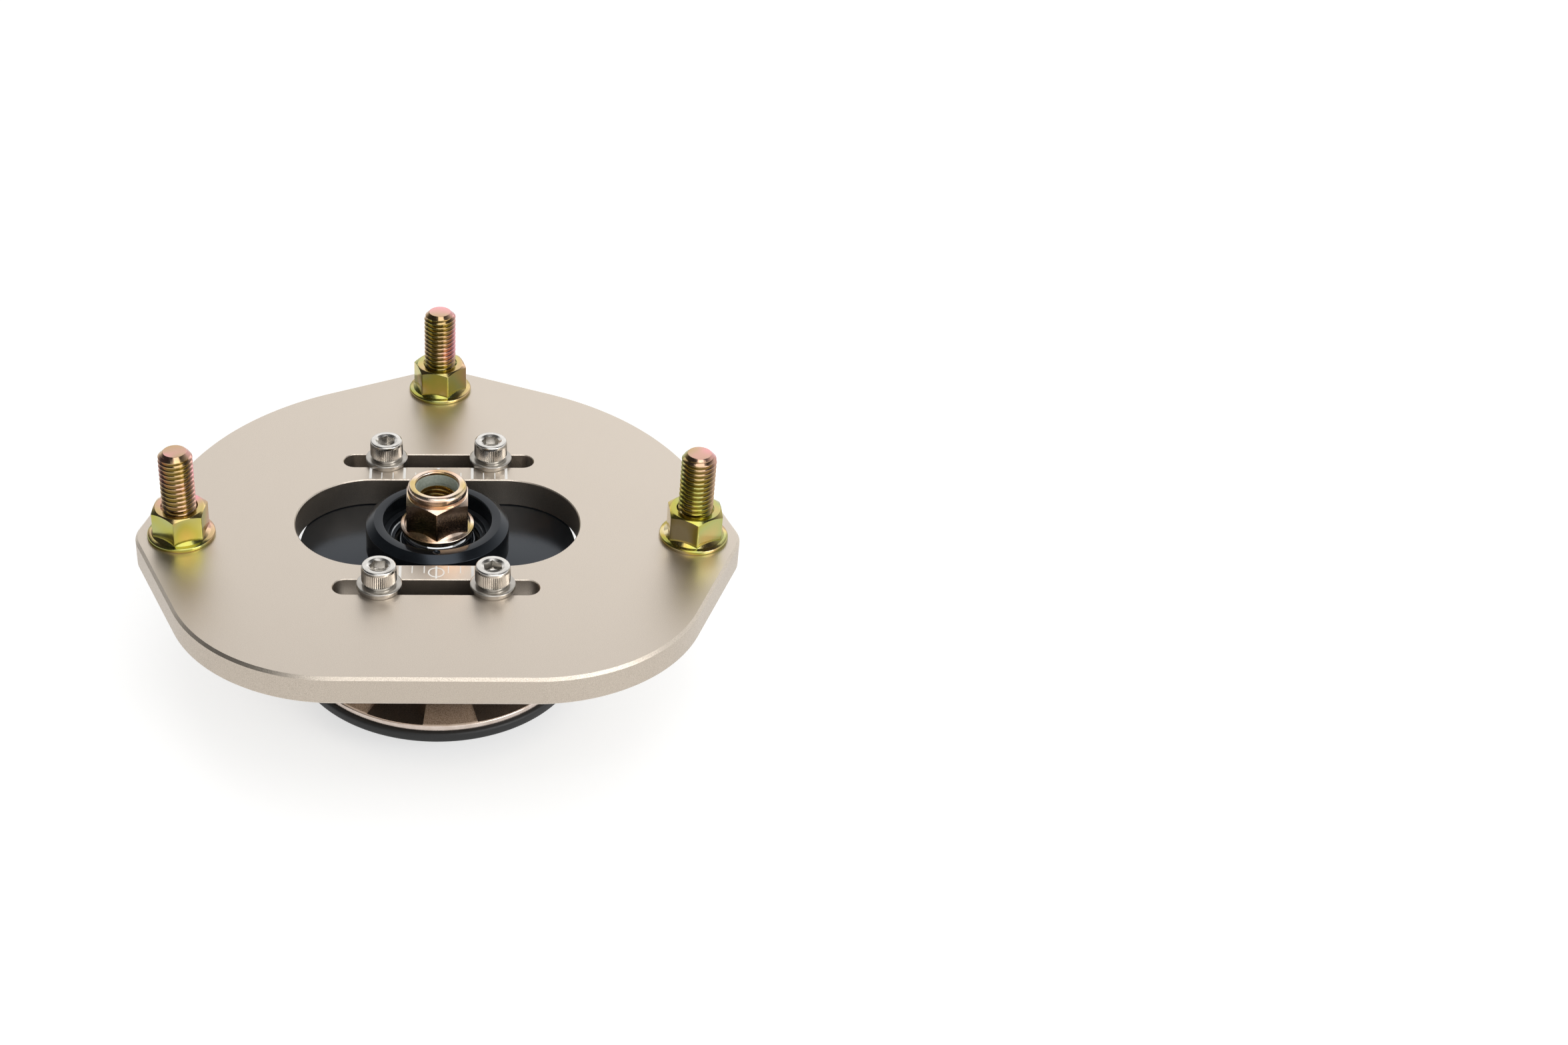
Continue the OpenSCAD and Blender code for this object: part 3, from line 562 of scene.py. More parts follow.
# top plate: a hull round three stud corners, two wide front arcs and a round rear
plate = {"low": 3, "high": 12, "chamfer": 0.8, "cornerRadius": 13.5,
         "studs": ((0, 77), (-74.8, -7.3), (74.8, -7.3)),
         "rearRadius": 83, "frontRadius": 50.5, "frontX": 27, "frontY": -24.5,
         "windowLength": 84, "windowWidth": 45, "windowChamfer": 0.28,
         "slotLength": 58.5, "slotWidth": 7.2, "slotY": 33.28, "slotChamfer": 0.22,
         "knurlRadius": 5.43, "headRadius": 8.55, "headDepth": 3.4}

discs = [arc(plate["cornerRadius"], 0, 360, 360, at) for at in plate["studs"]]
discs += [arc(plate["frontRadius"], 0, 360, 360, (side * plate["frontX"], plate["frontY"]))
          for side in (-1, 1)]
discs.append(arc(plate["rearRadius"], 0, 180, 240))
topPlate = prism("topPlate", wrapRound(sum(discs, [])), plate["low"], plate["high"])


def onFace(z):
    # true for what lies flat in the plane at this height
    return lambda points: all(abs(point.z - z) < 0.001 for point in points)


def onPlateFace(points):
    return onFace(plate["high"])(points) or onFace(plate["low"])(points)


bevelEdges(topPlate, onPlateFace, plate["chamfer"])
below = plate["low"] - 1
above = plate["high"] + 1
combine(topPlate, slotTool(plate["windowLength"], plate["windowWidth"], below, above),
        "DIFFERENCE")
for y in (-plate["slotY"], plate["slotY"]):
    combine(topPlate, slotTool(plate["slotLength"], plate["slotWidth"], below, above, y),
            "DIFFERENCE")
for at in plate["studs"]:
    combine(topPlate, cylinder("hole", plate["knurlRadius"], below, above, at), "DIFFERENCE")
    combine(topPlate, cylinder("recess", plate["headRadius"], below,
                               plate["low"] + plate["headDepth"], at), "DIFFERENCE")


def roundSlot(length, width, y=0):
    # true for edges on the rim of a slot with round ends
    half = (length - width) / 2

    def test(points):
        for point in points:
            beside = Vector((max(abs(point.x) - half, 0), point.y - y))
            if abs(beside.length - width / 2) > 0.01:
                return False
        return onPlateFace(points)
    return test


bevelEdges(topPlate, roundSlot(plate["windowLength"], plate["windowWidth"]),
           plate["windowChamfer"])
for y in (-plate["slotY"], plate["slotY"]):
    bevelEdges(topPlate, roundSlot(plate["slotLength"], plate["slotWidth"], y),
               plate["slotChamfer"])
# the upright faces take the painted shade and the slanted chamfers the painted highlight
finishPiece(topPlate, champagneAnodise, 20, [
    (champagnePaintedShadeSide, lambda centre, normal: abs(normal.z) < 0.3),
    (champagnePaintedHighlightEdge, lambda centre, normal: 0.3 <= abs(normal.z) < 0.95)])
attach(topPlate, "plate")
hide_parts("top_plate")

# laser scale: thirteen lines a side, every third one long and thick; the middle line in
# front carries a ring
scale = {"pitch": 3.45, "edge": 23.05, "shortEnd": 26.5, "longEnd": 29.2, "thin": 0.3,
         "thick": 0.8, "depth": 0.02, "ringY": -26.15, "ringRadius": 2.4, "ringLine": 0.42,
         "softEdge": 0.01}
marks = []
for side in (-1, 1):
    for step in range(-6, 7):
        if side < 0 and step == 0:
            continue
        long = step % 3 == 0
        width = scale["thick"] if long else scale["thin"]
        end = scale["longEnd"] if long else scale["shortEnd"]
        deselectAll()
        bpy.ops.mesh.primitive_cube_add(size=1, location=(
            step * scale["pitch"] * mm, side * (scale["edge"] + end) / 2 * mm,
            plate["high"] * mm))
        bpy.ops.transform.resize(value=(width * mm, (end - scale["edge"]) * mm,
                                        2 * scale["depth"] * mm))
        mark = bpy.context.object
        bpy.ops.object.transform_apply(location=True, rotation=True, scale=True)
        marks.append(mark)
ringMark = turnPiece("ringMark", [
    (scale["ringRadius"] - scale["ringLine"], -scale["depth"]),
    (scale["ringRadius"], -scale["depth"]), (scale["ringRadius"], scale["depth"]),
    (scale["ringRadius"] - scale["ringLine"], scale["depth"])], 64)
marks.append(copyTo(ringMark, (0, scale["ringY"], plate["high"])))
remove(ringMark)
bpy.ops.mesh.primitive_cube_add(size=1, location=(
    0, -(scale["edge"] + scale["longEnd"]) / 2 * mm, plate["high"] * mm))
bpy.ops.transform.resize(value=(scale["ringLine"] * 1.2 * mm,
                                (scale["longEnd"] - scale["edge"]) * mm,
                                2.2 * scale["depth"] * mm))
marks.append(bpy.context.object)
bpy.ops.object.transform_apply(location=True, rotation=True, scale=True)
laserScale = joinAll("laserScale", marks)
bevelEdges(laserScale, onFace(plate["high"] + scale["depth"]), scale["softEdge"])
finishPiece(laserScale, laserWhite)
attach(laserScale, "plate")
print("top plate and camber scale ready")


def threadedRod(name, radius, pitch, low, high, steps=72):
    # one turn of a V thread, wound up by a screw modifier and cut off at both ends
    depth = 0.6134 * pitch
    flank = 0.3125 * pitch
    crest = 0.125 * pitch
    root = 0.25 * pitch
    worn = 0.06  # the crest's corners are rounded by this much
    outline = [(radius - depth, 0), (radius - depth, root),
               (radius - worn, root + flank - worn / 3),
               (radius, root + flank + worn * 2 / 3),
               (radius, root + flank + crest - worn * 2 / 3),
               (radius - worn, root + flank + crest + worn / 3), (radius - depth, pitch)]
    turns = math.ceil((high - low) / pitch) + 2
    rod = drawOutline(name, [(r, 0, z + low - pitch) for r, z in outline], False)
    bpy.ops.object.mode_set(mode="OBJECT")
    wind = rod.modifiers.new("wind", "SCREW")
    wind.angle = 2 * math.pi
    wind.screw_offset = pitch * mm
    wind.iterations = turns
    wind.steps = steps
    wind.render_steps = steps
    bpy.ops.object.modifier_apply(modifier=wind.name)
    bpy.ops.object.mode_set(mode="EDIT")
    bpy.ops.mesh.select_all(action="SELECT")
    bpy.ops.mesh.remove_doubles(threshold=mm / 500)
    bpy.ops.mesh.bisect(plane_co=(0, 0, low * mm), plane_no=up, use_fill=True,
                        clear_inner=True, threshold=mm / 1000)
    bpy.ops.mesh.select_all(action="SELECT")
    bpy.ops.mesh.bisect(plane_co=(0, 0, high * mm), plane_no=up, use_fill=True,
                        clear_outer=True, threshold=mm / 1000)
    bpy.ops.mesh.select_all(action="SELECT")
    bpy.ops.mesh.normals_make_consistent(inside=False)
    bpy.ops.object.mode_set(mode="OBJECT")
    return rod


# studs pressed in from below: a flat head, a shank that the plate and nut hide, and a thread
stud = {"radius": 5, "pitch": 1.5, "tip": 40.6, "tipRadius": 3.4, "tipChamfer": 1.6,
        "threadLow": 20, "headLow": 3.4, "headHigh": 6.4, "headRadius": 8.5,
        "knurlRadius": 5.4, "plateTop": 12, "insideNut": 4.5, "turns": (20, 130, 250)}
shaft = threadedRod("shaft", stud["radius"], stud["pitch"], stud["threadLow"], stud["tip"])
combine(shaft, turnPiece("tip", [
    (0, stud["threadLow"] - 1), (stud["radius"] + 0.01, stud["threadLow"] - 1),
    (stud["radius"] + 0.01, stud["tip"] - stud["tipChamfer"], 0.3),
    (stud["tipRadius"], stud["tip"], 0.25), (0, stud["tip"] - 0.12)]), "INTERSECT")
combine(shaft, turnPiece("shank", [
    (0, stud["headLow"] + 0.25), (stud["headRadius"] * 0.55, stud["headLow"] + 0.2),
    (stud["headRadius"] * 0.62, stud["headLow"]), (stud["headRadius"], stud["headLow"], 0.4),
    (stud["headRadius"], stud["headHigh"], 0.3), (stud["knurlRadius"], stud["headHigh"]),
    (stud["knurlRadius"], stud["plateTop"]), (stud["insideNut"], stud["plateTop"]),
    (stud["insideNut"], stud["threadLow"] + 0.5), (0, stud["threadLow"] + 0.5)], 96), "UNION")
mountingStuds = joinAll("mountingStuds", [
    copyTo(shaft, (x, y, 0), turn) for (x, y), turn in zip(plate["studs"], stud["turns"])])
remove(shaft)
finishPiece(mountingStuds, darkerStudZinc)
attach(mountingStuds, "plate")
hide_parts("mounting_studs")


def hexagonTool(name, acrossFlats, low, high, edgeBreak, topRadius, turn=0):
    # a hexagonal prism with softened corners and the turned cone of a nut's end face
    hexagon = cylinder(name, acrossFlats / math.sqrt(3), low, high, sides=6, turn=30 + turn)
    bevelEdges(hexagon, lambda points: abs(points[0].z - points[1].z) > 0.1, edgeBreak, 3)
    farRadius = acrossFlats * 0.62
    slope = math.tan(math.radians(30))
    cone = turnPiece("cone", [
        (0, low - 1), (farRadius, low - 1),
        (farRadius, high - (farRadius - topRadius) * slope),
        (topRadius, high, 0.9), (0, high)], 144, 5)
    return combine(hexagon, cone, "INTERSECT")


# flange nuts: a hexagon with a coned end on a rimmed flange, bored and countersunk
nut = {"acrossFlats": 15, "low": 12, "high": 22, "edgeBreak": 0.2, "topRadius": 7.1,
       "flangeRadius": 10, "rim": 1.15, "bore": 4.56, "countersink": 5.45,
       "turns": (47.5, 23.5, 31)}
flangeNut = hexagonTool("flangeNut", nut["acrossFlats"], nut["low"] + 0.2, nut["high"],
                        nut["edgeBreak"], nut["topRadius"])
combine(flangeNut, turnPiece("flange", [
    (0, nut["low"]), (nut["flangeRadius"] - 0.15, nut["low"], 0.1),
    (nut["flangeRadius"], nut["low"] + 0.25, 0.2),
    (nut["flangeRadius"], nut["low"] + nut["rim"], 0.55),
    (nut["flangeRadius"] - 1.3, nut["low"] + nut["rim"] + 0.3, 0.6),
    (nut["acrossFlats"] / 2 - 0.2, nut["low"] + nut["rim"] + 1.15),
    (0, nut["low"] + 2.6)], 144), "UNION")
combine(flangeNut, turnPiece("boreTool", [
    (0, nut["low"] - 1), (nut["bore"] + 0.4, nut["low"] - 1), (nut["bore"], nut["low"] + 0.6),
    (nut["bore"], nut["high"] - 0.9), (nut["countersink"], nut["high"] - 0.05),
    (nut["countersink"], nut["high"] + 1), (0, nut["high"] + 1)]), "DIFFERENCE")
flangeNuts = joinAll("flangeNuts", [
    copyTo(flangeNut, (x, y, 0), turn) for (x, y), turn in zip(plate["studs"], nut["turns"])])
remove(flangeNut)
finishPiece(flangeNuts, yellowZinc)
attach(flangeNuts, "plate")
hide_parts("flange_nuts")
print("studs and flange nuts ready")


# clamp screws: a ribbed socket head, and a thread whose end shows under the carrier
screw = {"x": 16, "radius": 3, "pitch": 1, "headLow": 13.6, "headHigh": 19.6, "headRadius": 5,
         "neckRadius": 4.6, "ribs": 56, "ribDepth": 0.2, "socket": 5, "socketDepth": 3,
         "tail": -6.7, "threadTop": -2.5, "pointRadius": 2.45, "pointDepth": 1.3,
         "socketTurns": (26, 3, 0, 30)}
low = screw["headLow"]
high = screw["headHigh"]
capScrew = turnPiece("capScrew", [
    (0, screw["threadTop"] - 0.5), (screw["radius"] - 0.1, screw["threadTop"] - 0.5),
    (screw["radius"] - 0.1, low), (screw["neckRadius"], low, 0.15),
    (screw["neckRadius"], low + 0.75), (screw["headRadius"], low + 1.05),
    (screw["headRadius"], high - 1.2), (screw["headRadius"] - 0.1, high - 1.05),
    (screw["headRadius"] - 0.1, high, 0.75), (screw["socket"] * 0.68, high, 0.15),
    (0, high - 1.6)], screw["ribs"] * 2)
# every second column round the head's side is drawn in, which leaves the ribs
select(capScrew, "VERT", lambda points: (
    low + 1.0 < points[0].z < high - 1.1
    and round(math.degrees(math.atan2(points[0].y, points[0].x)) / 180 * screw["ribs"]) % 2 == 1))
squeeze = 1 - screw["ribDepth"] / screw["headRadius"]
bpy.ops.transform.resize(value=(squeeze, squeeze, 1), center_override=(0, 0, 0))
bpy.ops.object.mode_set(mode="OBJECT")
combine(capScrew, threadedRod("tail", screw["radius"], screw["pitch"], screw["tail"],
                              screw["threadTop"], 48), "UNION")
bevelEdges(capScrew, onFace(screw["tail"]), 0.1)
screws = []
places = [(x, y) for y in (-plate["slotY"], plate["slotY"]) for x in (-screw["x"], screw["x"])]
for (x, y), turn in zip(places, screw["socketTurns"]):
    one = copyTo(capScrew, (x, y, 0), 7 * turn)  # its thread starts somewhere else too
    bottom = high - screw["socketDepth"]
    combine(one, cylinder("socket", screw["socket"] / math.sqrt(3), bottom, high + 1, (x, y), 6,
                          turn), "DIFFERENCE")
    point = turnPiece("point", [(0, bottom - screw["pointDepth"]),
                                (screw["pointRadius"], bottom), (0, bottom + 0.5)], 48)
    combine(one, copyTo(point, (x, y, 0)), "DIFFERENCE")
    remove(point)
    screws.append(one)
remove(capScrew)
clampScrews = joinAll("clampScrews", screws)
finishPiece(clampScrews, stainlessSteel)
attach(clampScrews, "carrier")
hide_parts("clamp_screws")

# flat washers: the stamping rounds their upper rim
washer = {"radius": 6.5, "bore": 3.2, "low": 12.03, "high": 13.6}
ring = turnPiece("washer", [
    (washer["bore"], washer["low"]), (washer["radius"] - 0.05, washer["low"], 0.1),
    (washer["radius"], washer["high"], 0.35), (washer["bore"], washer["high"], 0.1)], 96)
flatWashers = joinAll("flatWashers", [copyTo(ring, (x, y, 0)) for x, y in places])
remove(ring)
finishPiece(flatWashers, stampedStainless)
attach(flatWashers, "carrier")
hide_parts("flat_washers")
print("clamp screws and washers ready")


# carrier: disc, hub and housing in one, with a groove for the circlip in its bore, eight
# tapped holes and a small dimple in front
carrier = {"bore": 16.03, "hubTop": 12.9, "hubRadius": 21.15, "bevelWidth": 2.4,
           "bevelHeight": 1.8, "discTop": 3, "discLow": -4.3, "discRadius": 41.2,
           "housingRadius": 26.3, "housingLow": -10.4, "grooveRadius": 16.85,
           "grooveLow": 6.5, "grooveHigh": 7.75, "dimpleY": -17.39, "dimpleRadius": 1.1,
           "ringScrewCircle": 21.8, "ringScrewHole": 2.55, "ringScrewDepth": 7.8}
bearingCarrier = turnPiece("bearingCarrier", [
    (carrier["bore"], carrier["hubTop"], 0.35),
    (carrier["hubRadius"] - carrier["bevelWidth"], carrier["hubTop"], 0.12),
    (carrier["hubRadius"], carrier["hubTop"] - carrier["bevelHeight"], 0.2),
    (carrier["hubRadius"], carrier["discTop"], 0.1),
    (carrier["discRadius"], carrier["discTop"], 0.4),
    (carrier["discRadius"], carrier["discLow"], 0.4),
    (carrier["housingRadius"], carrier["discLow"], 0.2),
    (carrier["housingRadius"], carrier["housingLow"], 0.3),
    (carrier["bore"], carrier["housingLow"], 0.2), (carrier["bore"], carrier["grooveLow"]),
    (carrier["grooveRadius"], carrier["grooveLow"]),
    (carrier["grooveRadius"], carrier["grooveHigh"]),
    (carrier["bore"], carrier["grooveHigh"])], 192)
for x, y in places:
    combine(bearingCarrier, cylinder("tapped", screw["radius"] + 0.05, carrier["discLow"] - 1,
                                     carrier["discTop"] + 1, (x, y), 48), "DIFFERENCE")
ringPlaces = [(carrier["ringScrewCircle"] * math.cos(math.radians(a)),
               carrier["ringScrewCircle"] * math.sin(math.radians(a))) for a in (0, 90, 180, 270)]
for at in ringPlaces:
    combine(bearingCarrier, cylinder(
        "tapped", carrier["ringScrewHole"], carrier["housingLow"] - 1,
        carrier["housingLow"] + carrier["ringScrewDepth"], at, 48), "DIFFERENCE")
drill = turnPiece("drill", [
    (0, -carrier["dimpleRadius"] * 0.75), (carrier["dimpleRadius"], 0),
    (carrier["dimpleRadius"], 1), (0, 1)], 48)
dimple = copyTo(drill, (0, carrier["dimpleY"], carrier["hubTop"]))
remove(drill)
combine(bearingCarrier, dimple, "DIFFERENCE")
finishPiece(bearingCarrier, blackAnodise, 30, [
    (blackLapped, lambda centre, normal: centre.z > carrier["hubTop"] - 0.1)])
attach(bearingCarrier, "carrier")
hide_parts("bearing_carrier")


def snapRing(name, radius, width, low, thickness, eyeRadius, gapDegrees, edge=0.12):
    # a flat ring with a gap at the front and an eye on each side of it
    ring = turnPiece(name, [
        (radius - width, low, edge), (radius, low, edge), (radius, low + thickness, edge),
        (radius - width, low + thickness, edge)], 144)
    eyeAt = radius - width + 0.1
    turn = math.radians(gapDegrees / 2) + math.asin(eyeRadius / eyeAt)
    wide = 2 * radius * math.sin(turn)
    deep = -2 * radius * math.cos(turn)
    wedge = prism("wedge", [(0, 0), (-wide, deep), (wide, deep)], low - 1, low + thickness + 1)
    combine(ring, wedge, "DIFFERENCE")
    for side in (-1, 1):
        at = (side * eyeAt * math.sin(turn), -eyeAt * math.cos(turn))
        combine(ring, cylinder("eye", eyeRadius, low, low + thickness, at, 48), "UNION")
        combine(ring, cylinder("hole", eyeRadius * 0.5, low - 1, low + thickness + 1, at, 32),
                "DIFFERENCE")
    return ring


# circlip over the ball's race
ballClip = {"radius": 16.8, "width": 2.4, "low": 6.5, "thickness": 1.2, "eyeRadius": 1.85,
            "gapDegrees": 22}
ballCirclip = snapRing("ballCirclip", **ballClip)
finishPiece(ballCirclip, phosphatedSpring)
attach(ballCirclip, "carrier")
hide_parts("ball_circlip")

# the ball's race: a ring hollowed to a sphere, which the liners fill
race = {"radius": 16, "half": 6.5, "sphere": 14.0, "mouth": 13.65}
hollow = arc(race["sphere"], -24.5, 24.5, 20)
ballRace = turnPiece("ballRace", [(race["mouth"], -race["half"])] + hollow + [
    (race["mouth"], race["half"] - 0.35), (race["mouth"] + 0.3, race["half"] - 0.05),
    (race["radius"] - 0.3, race["half"] - 0.05, 0.1),
    (race["radius"], race["half"] - 0.35), (race["radius"], -race["half"], 0.3)], 144)
finishPiece(ballRace, phosphatedSpring, 30, [
    (bearingSteel, lambda centre, normal: race["mouth"] < centre.xy.length < race["mouth"] + 0.4
     and normal.z > 0.3)])
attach(ballRace, "carrier")
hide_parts("ball_race")

# retaining ring under the race: a spigot into the carrier's bore and a shallow belt outside
keeper = {"low": -15, "high": -10.4, "radius": 26.5, "bore": 14.5, "spigot": 15.97,
          "spigotTop": -6.5, "belt": 0.12}
retainingRing = turnPiece("retainingRing", [
    (keeper["bore"], keeper["low"], 0.5), (keeper["radius"], keeper["low"], 0.4),
    (keeper["radius"], keeper["low"] + 0.5),
    (keeper["radius"] - keeper["belt"], keeper["low"] + 0.7),
    (keeper["radius"] - keeper["belt"], keeper["high"] - 1.2),
    (keeper["radius"], keeper["high"] - 1.0),
    (keeper["radius"], keeper["high"], 0.3), (keeper["spigot"], keeper["high"]),
    (keeper["spigot"], keeper["spigotTop"]), (keeper["bore"], keeper["spigotTop"])], 192)
for at in ringPlaces:
    combine(retainingRing, cylinder("hole", carrier["ringScrewHole"], keeper["low"] - 1,
                                    keeper["high"] + 1, at, 48), "DIFFERENCE")
finishPiece(retainingRing, blackRough)
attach(retainingRing, "carrier")
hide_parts("retaining_ring")

# button-head screws that hold the retaining ring, their domes pointing down
button = {"headRadius": 4.7, "height": 2.6, "edge": 0.5, "flat": 2.35, "shank": 2.45,
          "length": 12, "socket": 3, "socketDepth": 1.5, "turns": (10, 47, 25, 3),
          "crown": ((3.75, 1.95, 1.5), (4.45, 1.1, 1.0))}  # radius, rise, rounding
base = keeper["low"]
dome = turnPiece("dome", [
    (0, base - button["height"]), (button["flat"], base - button["height"], 0.4)]
    + [(radius, base - rise, soft) for radius, rise, soft in button["crown"]] + [
    (button["headRadius"], base - button["edge"], 0.15),
    (button["headRadius"], base, 0.12), (button["shank"], base),
    (button["shank"], base + button["length"]), (0, base + button["length"])], 96)
combine(dome, cylinder("socket", button["socket"] / math.sqrt(3), base - button["height"] - 1,
                       base - button["height"] + button["socketDepth"], (0, 0), 6), "DIFFERENCE")
ringScrews = joinAll("ringScrews", [
    copyTo(dome, (x, y, 0), turn) for (x, y), turn in zip(ringPlaces, button["turns"])])
remove(dome)
finishPiece(ringScrews, dullStainless)
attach(ringScrews, "carrier")
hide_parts("ring_screws")
print("bearing carrier ready")


# pillow ball: a sphere cut flat above and below and bored for the collar's sleeve
ball = {"radius": 13, "half": 8, "bore": 8.03}
latitude = math.degrees(math.asin(ball["half"] / ball["radius"]))
cheek = arc(ball["radius"], latitude, -latitude, 24)
pillowBall = turnPiece("pillowBall", [(ball["bore"], ball["half"])] + cheek
                       + [(ball["bore"], -ball["half"])], 144)
finishPiece(pillowBall, polishedBall, 40)
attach(pillowBall, "rod_stack")
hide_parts("pillow_ball")

# collar on top of the ball, with the sleeve that goes through it
collar = {"bore": 6.1, "sleeve": 7.98, "sleeveLow": -8, "low": 8.02, "radius": 10.3,
          "bevelLow": 8.98, "topRadius": 8.9, "top": 10.38}
topCollar = turnPiece("topCollar", [
    (collar["bore"], collar["sleeveLow"]), (collar["sleeve"], collar["sleeveLow"]),
    (collar["sleeve"], collar["low"]), (collar["radius"], collar["low"], 0.1),
    (collar["radius"], collar["bevelLow"], 0.4), (collar["topRadius"], collar["top"], 0.3),
    (collar["bore"], collar["top"])], 128)
finishPiece(topCollar, polishedBall)
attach(topCollar, "rod_stack")
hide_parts("top_collar")

# lower spacer: a barrel that flares to a foot, and a spigot in the seat's bearing
spacer = {"bore": 6.1, "radius": 11, "top": -8, "coneTop": -18, "foot": 15, "footTop": -22.9,
          "footLow": -24.2, "spigot": 12.47, "low": -36.2}
lowerSpacer = turnPiece("lowerSpacer", [
    (spacer["bore"], spacer["top"], 0.3), (spacer["radius"], spacer["top"], 0.6),
    (spacer["radius"], spacer["coneTop"], 0.4), (spacer["foot"], spacer["footTop"], 0.25),
    (spacer["foot"], spacer["footLow"], 0.15), (spacer["spigot"], spacer["footLow"]),
    (spacer["spigot"], spacer["low"], 0.6), (spacer["bore"], spacer["low"], 0.5)], 144)
finishPiece(lowerSpacer, roseZinc)
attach(lowerSpacer, "rod_stack")
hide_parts("lower_spacer")

# lock nut: flange, hexagon and a rolled collar that keeps the nylon ring in
lock = {"acrossFlats": 18, "low": 10.4, "hexTop": 21.8, "top": 25.1, "flangeRadius": 11,
        "rim": 1.1, "collarRadius": 8.65, "lip": 6.35, "pocket": 7.4, "pocketLow": 21.1,
        "threadRadius": 6.1, "pitch": 1.5, "edgeBreak": 0.25, "turn": 30}
lockNut = hexagonTool("lockNut", lock["acrossFlats"], lock["low"] + 0.2, lock["hexTop"],
                      lock["edgeBreak"], lock["collarRadius"], lock["turn"])
combine(lockNut, turnPiece("flange", [
    (0, lock["low"]), (lock["flangeRadius"] - 0.2, lock["low"], 0.1),
    (lock["flangeRadius"], lock["low"] + 0.35, 0.25),
    (lock["flangeRadius"] - 0.1, lock["low"] + lock["rim"], 0.35),
    (lock["flangeRadius"] - 1.2, lock["low"] + lock["rim"] + 0.45, 0.8),
    (lock["acrossFlats"] / 2 - 0.2, lock["low"] + lock["rim"] + 1.5),
    (0, lock["low"] + 3)], 144), "UNION")
combine(lockNut, turnPiece("collar", [
    (0, lock["hexTop"] - 1), (lock["collarRadius"] - 0.3, lock["hexTop"] - 1),
    (lock["collarRadius"] - 0.3, lock["hexTop"] + 0.3, 0.35),
    (lock["collarRadius"], lock["hexTop"] + 1.0, 0.6),
    (lock["collarRadius"], lock["top"], 1.9),
    (lock["lip"], lock["top"] - 0.05, 0.45), (lock["lip"], lock["top"] - 1),
    (0, lock["top"] - 1)], 144, 8), "UNION")
combine(lockNut, turnPiece("pocketTool", [
    (0, lock["pocketLow"]), (lock["pocket"], lock["pocketLow"]),
    (lock["pocket"], lock["top"] - 1.3), (lock["lip"], lock["top"] - 0.9),
    (lock["lip"], lock["top"] + 1), (0, lock["top"] + 1)]), "DIFFERENCE")
combine(lockNut, threadedRod("tap", lock["threadRadius"], lock["pitch"], lock["low"] - 0.5,
                             lock["pocketLow"] + 0.5), "DIFFERENCE")
finishPiece(lockNut, roseZinc, 30, [
    (goldThread, lambda centre, normal: centre.xy.length < lock["threadRadius"] + 0.1
     and centre.z < lock["pocketLow"] + 0.1)])
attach(lockNut, "rod_stack")
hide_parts("lock_nut")

# nylon ring, with a little room all round in its pocket
nylon = {"bore": 5.35, "lift": 0.02, "gap": 0.03, "shoulder": 1.35, "face": 0.95,
         "mouth": 6.05, "throat": 5.4, "throatDepth": 3.2}
nylonRing = turnPiece("nylonRing", [
    (nylon["bore"], lock["pocketLow"] + nylon["lift"]),
    (lock["pocket"] - nylon["gap"], lock["pocketLow"] + nylon["lift"]),
    (lock["pocket"] - nylon["gap"], lock["top"] - nylon["shoulder"]),
    (lock["lip"] - nylon["gap"], lock["top"] - nylon["face"], 0.2),
    (nylon["mouth"], lock["top"] - nylon["face"], 0.5),
    (nylon["throat"], lock["top"] - nylon["throatDepth"], 0.6)], 128)
finishPiece(nylonRing, nylonGreyGreen)
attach(nylonRing, "rod_stack")
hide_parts("nylon_insert")
print("pillow ball and lock nut ready")


# seat bearing: an inner and an outer race, each with a groove for the balls
bearing = {"top": -24.2, "low": -36.2, "bore": 12.5, "radius": 23.5, "pitchRadius": 18,
           "inner": 15.9, "outer": 20.1, "raceway": 4.0}


def racewayArc(edge, sign):
    # the groove in a ring's face, from its top to its bottom
    offset = abs(bearing["pitchRadius"] - edge)
    half = math.acos(offset / bearing["raceway"])
    middle = (bearing["top"] + bearing["low"]) / 2
    return [(bearing["pitchRadius"] + sign * bearing["raceway"] * math.cos(a),
             middle + bearing["raceway"] * math.sin(a))
            for a in [half * (1 - i / 8) for i in range(17)]]


innerRace = turnPiece("innerRace", [
    (bearing["bore"], bearing["top"], 0.4), (bearing["inner"], bearing["top"], 0.2)]
    + racewayArc(bearing["inner"], -1)
    + [(bearing["inner"], bearing["low"], 0.2), (bearing["bore"], bearing["low"], 0.4)], 128)
finishPiece(innerRace, bearingSteel)
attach(innerRace, "rod_stack")
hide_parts("bearing_inner_race")

outerRace = turnPiece("outerRace", [
    (bearing["radius"], bearing["low"], 0.6), (bearing["radius"], bearing["top"], 0.6),
    (bearing["outer"], bearing["top"], 0.2)] + racewayArc(bearing["outer"], 1)
    + [(bearing["outer"], bearing["low"], 0.2)], 128)
finishPiece(outerRace, bearingSteel)
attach(outerRace, "seat")
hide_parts("bearing_outer_race")

# both seals have one section, upright above the balls and turned over below them
seals = {"upperFace": -24.5, "lowerFace": -35.9,
         # radius, depth under the face, rounding
         "outline": ((16.12, 0.35, 0.1), (16.6, 0.1, 0.15), (17.1, 0, 0.15), (17.3, 0.3, 0.1),
                     (17.9, 0.3, 0.1), (18.1, 0, 0.1), (19.4, 0, 0.15), (20.05, 0.15, 0.1),
                     (20.05, 1.0, 0), (16.12, 1.0, 0))}
for name, node, face, side in (("upperSeal", "upper_seal", seals["upperFace"], 1),
                               ("lowerSeal", "lower_seal", seals["lowerFace"], -1)):
    seal = turnPiece(name, [(radius, face - side * depth, soft)
                            for radius, depth, soft in seals["outline"]], 128)
    finishPiece(seal, nitrileSeal)
    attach(seal, "seat")
    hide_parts(node)

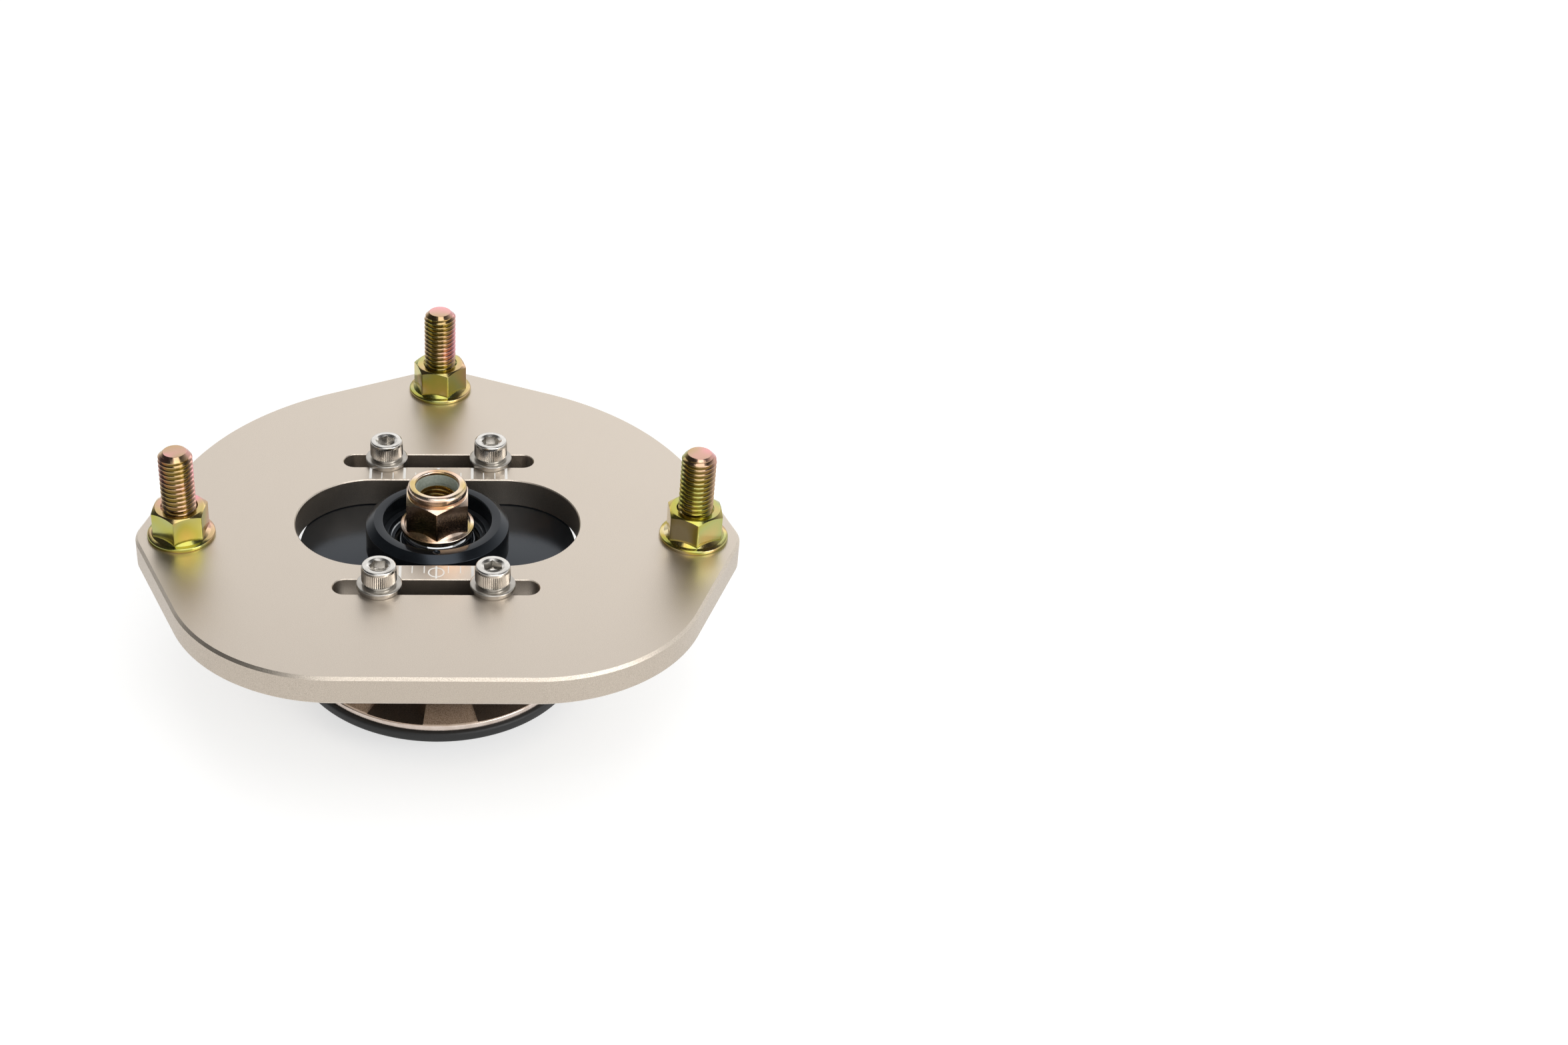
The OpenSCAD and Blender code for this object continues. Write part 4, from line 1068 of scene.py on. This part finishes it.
# circlip under the bearing
seatClip = {"radius": 24.48, "width": 3, "low": -37.95, "thickness": 1.75, "eyeRadius": 2.3,
            "gapDegrees": 20}
seatCirclip = snapRing("seatCirclip", **seatClip)
finishPiece(seatCirclip, phosphatedSpring)
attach(seatCirclip, "seat")
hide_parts("bearing_circlip")
print("seat bearing ready")


# spring seat: a shallow cone on a hub, with pockets milled into the cone
seat = {"bore": 23.53, "rimBore": 22.43, "rimRadius": 26.2, "top": -23.3, "radius": 43,
        "lipTop": -30.5, "under": -32.7, "hubRadius": 28.2, "hubLow": -40.5,
        "grooveRadius": 24.53, "grooveLow": -38.0, "grooveHigh": -36.2,
        "pockets": 8, "pocketTurn": 28.2, "pocketIn": 28.4, "halfWidth": 7.1, "flare": 9,
        "corner": 4.2, "floorZ": -30.1, "floorFall": 0.6, "pocketHeight": 12}
springSeat = turnPiece("springSeat", [
    (seat["rimBore"], seat["top"], 0.25), (seat["rimRadius"], seat["top"], 0.35),
    (seat["radius"] - 0.5, seat["lipTop"]), (seat["radius"], seat["lipTop"] - 0.5),
    (seat["radius"], seat["under"], 0.15), (seat["hubRadius"], seat["under"]),
    (seat["hubRadius"], seat["hubLow"], 0.4), (seat["bore"], seat["hubLow"], 0.4),
    (seat["bore"], seat["grooveLow"]), (seat["grooveRadius"], seat["grooveLow"]),
    (seat["grooveRadius"], seat["grooveHigh"]), (seat["bore"], seat["grooveHigh"]),
    (seat["bore"], bearing["top"]), (seat["rimBore"], bearing["top"])], 240)

# one pocket with rounded inner corners, opening outwards, its floor falling a little
flare = math.radians(seat["flare"])
corner = seat["corner"]
plan = arc(corner, 180, 90 + seat["flare"], 8,
           (seat["pocketIn"] + corner, seat["halfWidth"] - corner))
reach = seat["radius"] + 1
plan.append((reach, plan[-1][1] + (reach - plan[-1][0]) * math.tan(flare)))
plan += [(x, -y) for x, y in reversed(plan)]
pocket = prism("pocket", plan, 0, seat["pocketHeight"])
slope = math.atan(seat["floorFall"] / (seat["radius"] - seat["pocketIn"]))
pocket.matrix_world = (Matrix.Translation(Vector((seat["pocketIn"], 0, seat["floorZ"])) * mm)
                       @ Matrix.Rotation(slope, 4, "Y")
                       @ Matrix.Translation(Vector((-seat["pocketIn"], 0, 0)) * mm))
makeActive(pocket)
bpy.ops.object.transform_apply(location=True, rotation=True, scale=True)
for index in range(seat["pockets"]):
    tool = copyTo(pocket, (0, 0, 0), index * 360 / seat["pockets"] - 90 + seat["pocketTurn"])
    combine(springSeat, tool, "DIFFERENCE")
remove(pocket)
soften = springSeat.modifiers.new("soften", "BEVEL")
soften.width = 0.3 * mm
soften.segments = 2
soften.limit_method = "ANGLE"
soften.angle_limit = math.radians(32)
makeActive(springSeat)
bpy.ops.object.modifier_apply(modifier=soften.name)
finishPiece(springSeat, bronzeAnodise, 30, [
    (brightCut, lambda centre, normal: centre.xy.length > seat["radius"] - 0.55
     or (normal.z > 0.9 and centre.z > seat["top"] - 0.2))])
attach(springSeat, "seat")
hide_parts("spring_seat")

# isolator: a flange under the seat, and the pilot that centres the spring
isolator = {"bore": 28.23, "radius": 44.1, "top": -32.7, "flangeLow": -36.2, "pilot": 32.4,
            "low": -45.4, "edge": 1.1}
springIsolator = turnPiece("springIsolator", [
    (isolator["bore"], isolator["top"]), (isolator["radius"], isolator["top"], isolator["edge"]),
    (isolator["radius"], isolator["flangeLow"], isolator["edge"]),
    (isolator["pilot"], isolator["flangeLow"], 0.3),
    (isolator["pilot"], isolator["low"], isolator["edge"]),
    (isolator["bore"], isolator["low"], 0.4)], 192, 6)
finishPiece(springIsolator, isolatorBlack)
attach(springIsolator, "seat")
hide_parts("spring_isolator")
print("spring seat and isolator ready")


# nodes kept from the solid model get their finish here
for name, material in (("bearing_balls", polishedBall), ("ball_cage", cagePolyamide),
                       ("upper_liner", filledPtfe), ("lower_liner", filledPtfe)):
    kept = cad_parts[name]
    kept.data.materials.clear()
    kept.data.materials.append(material)

deselectAll()
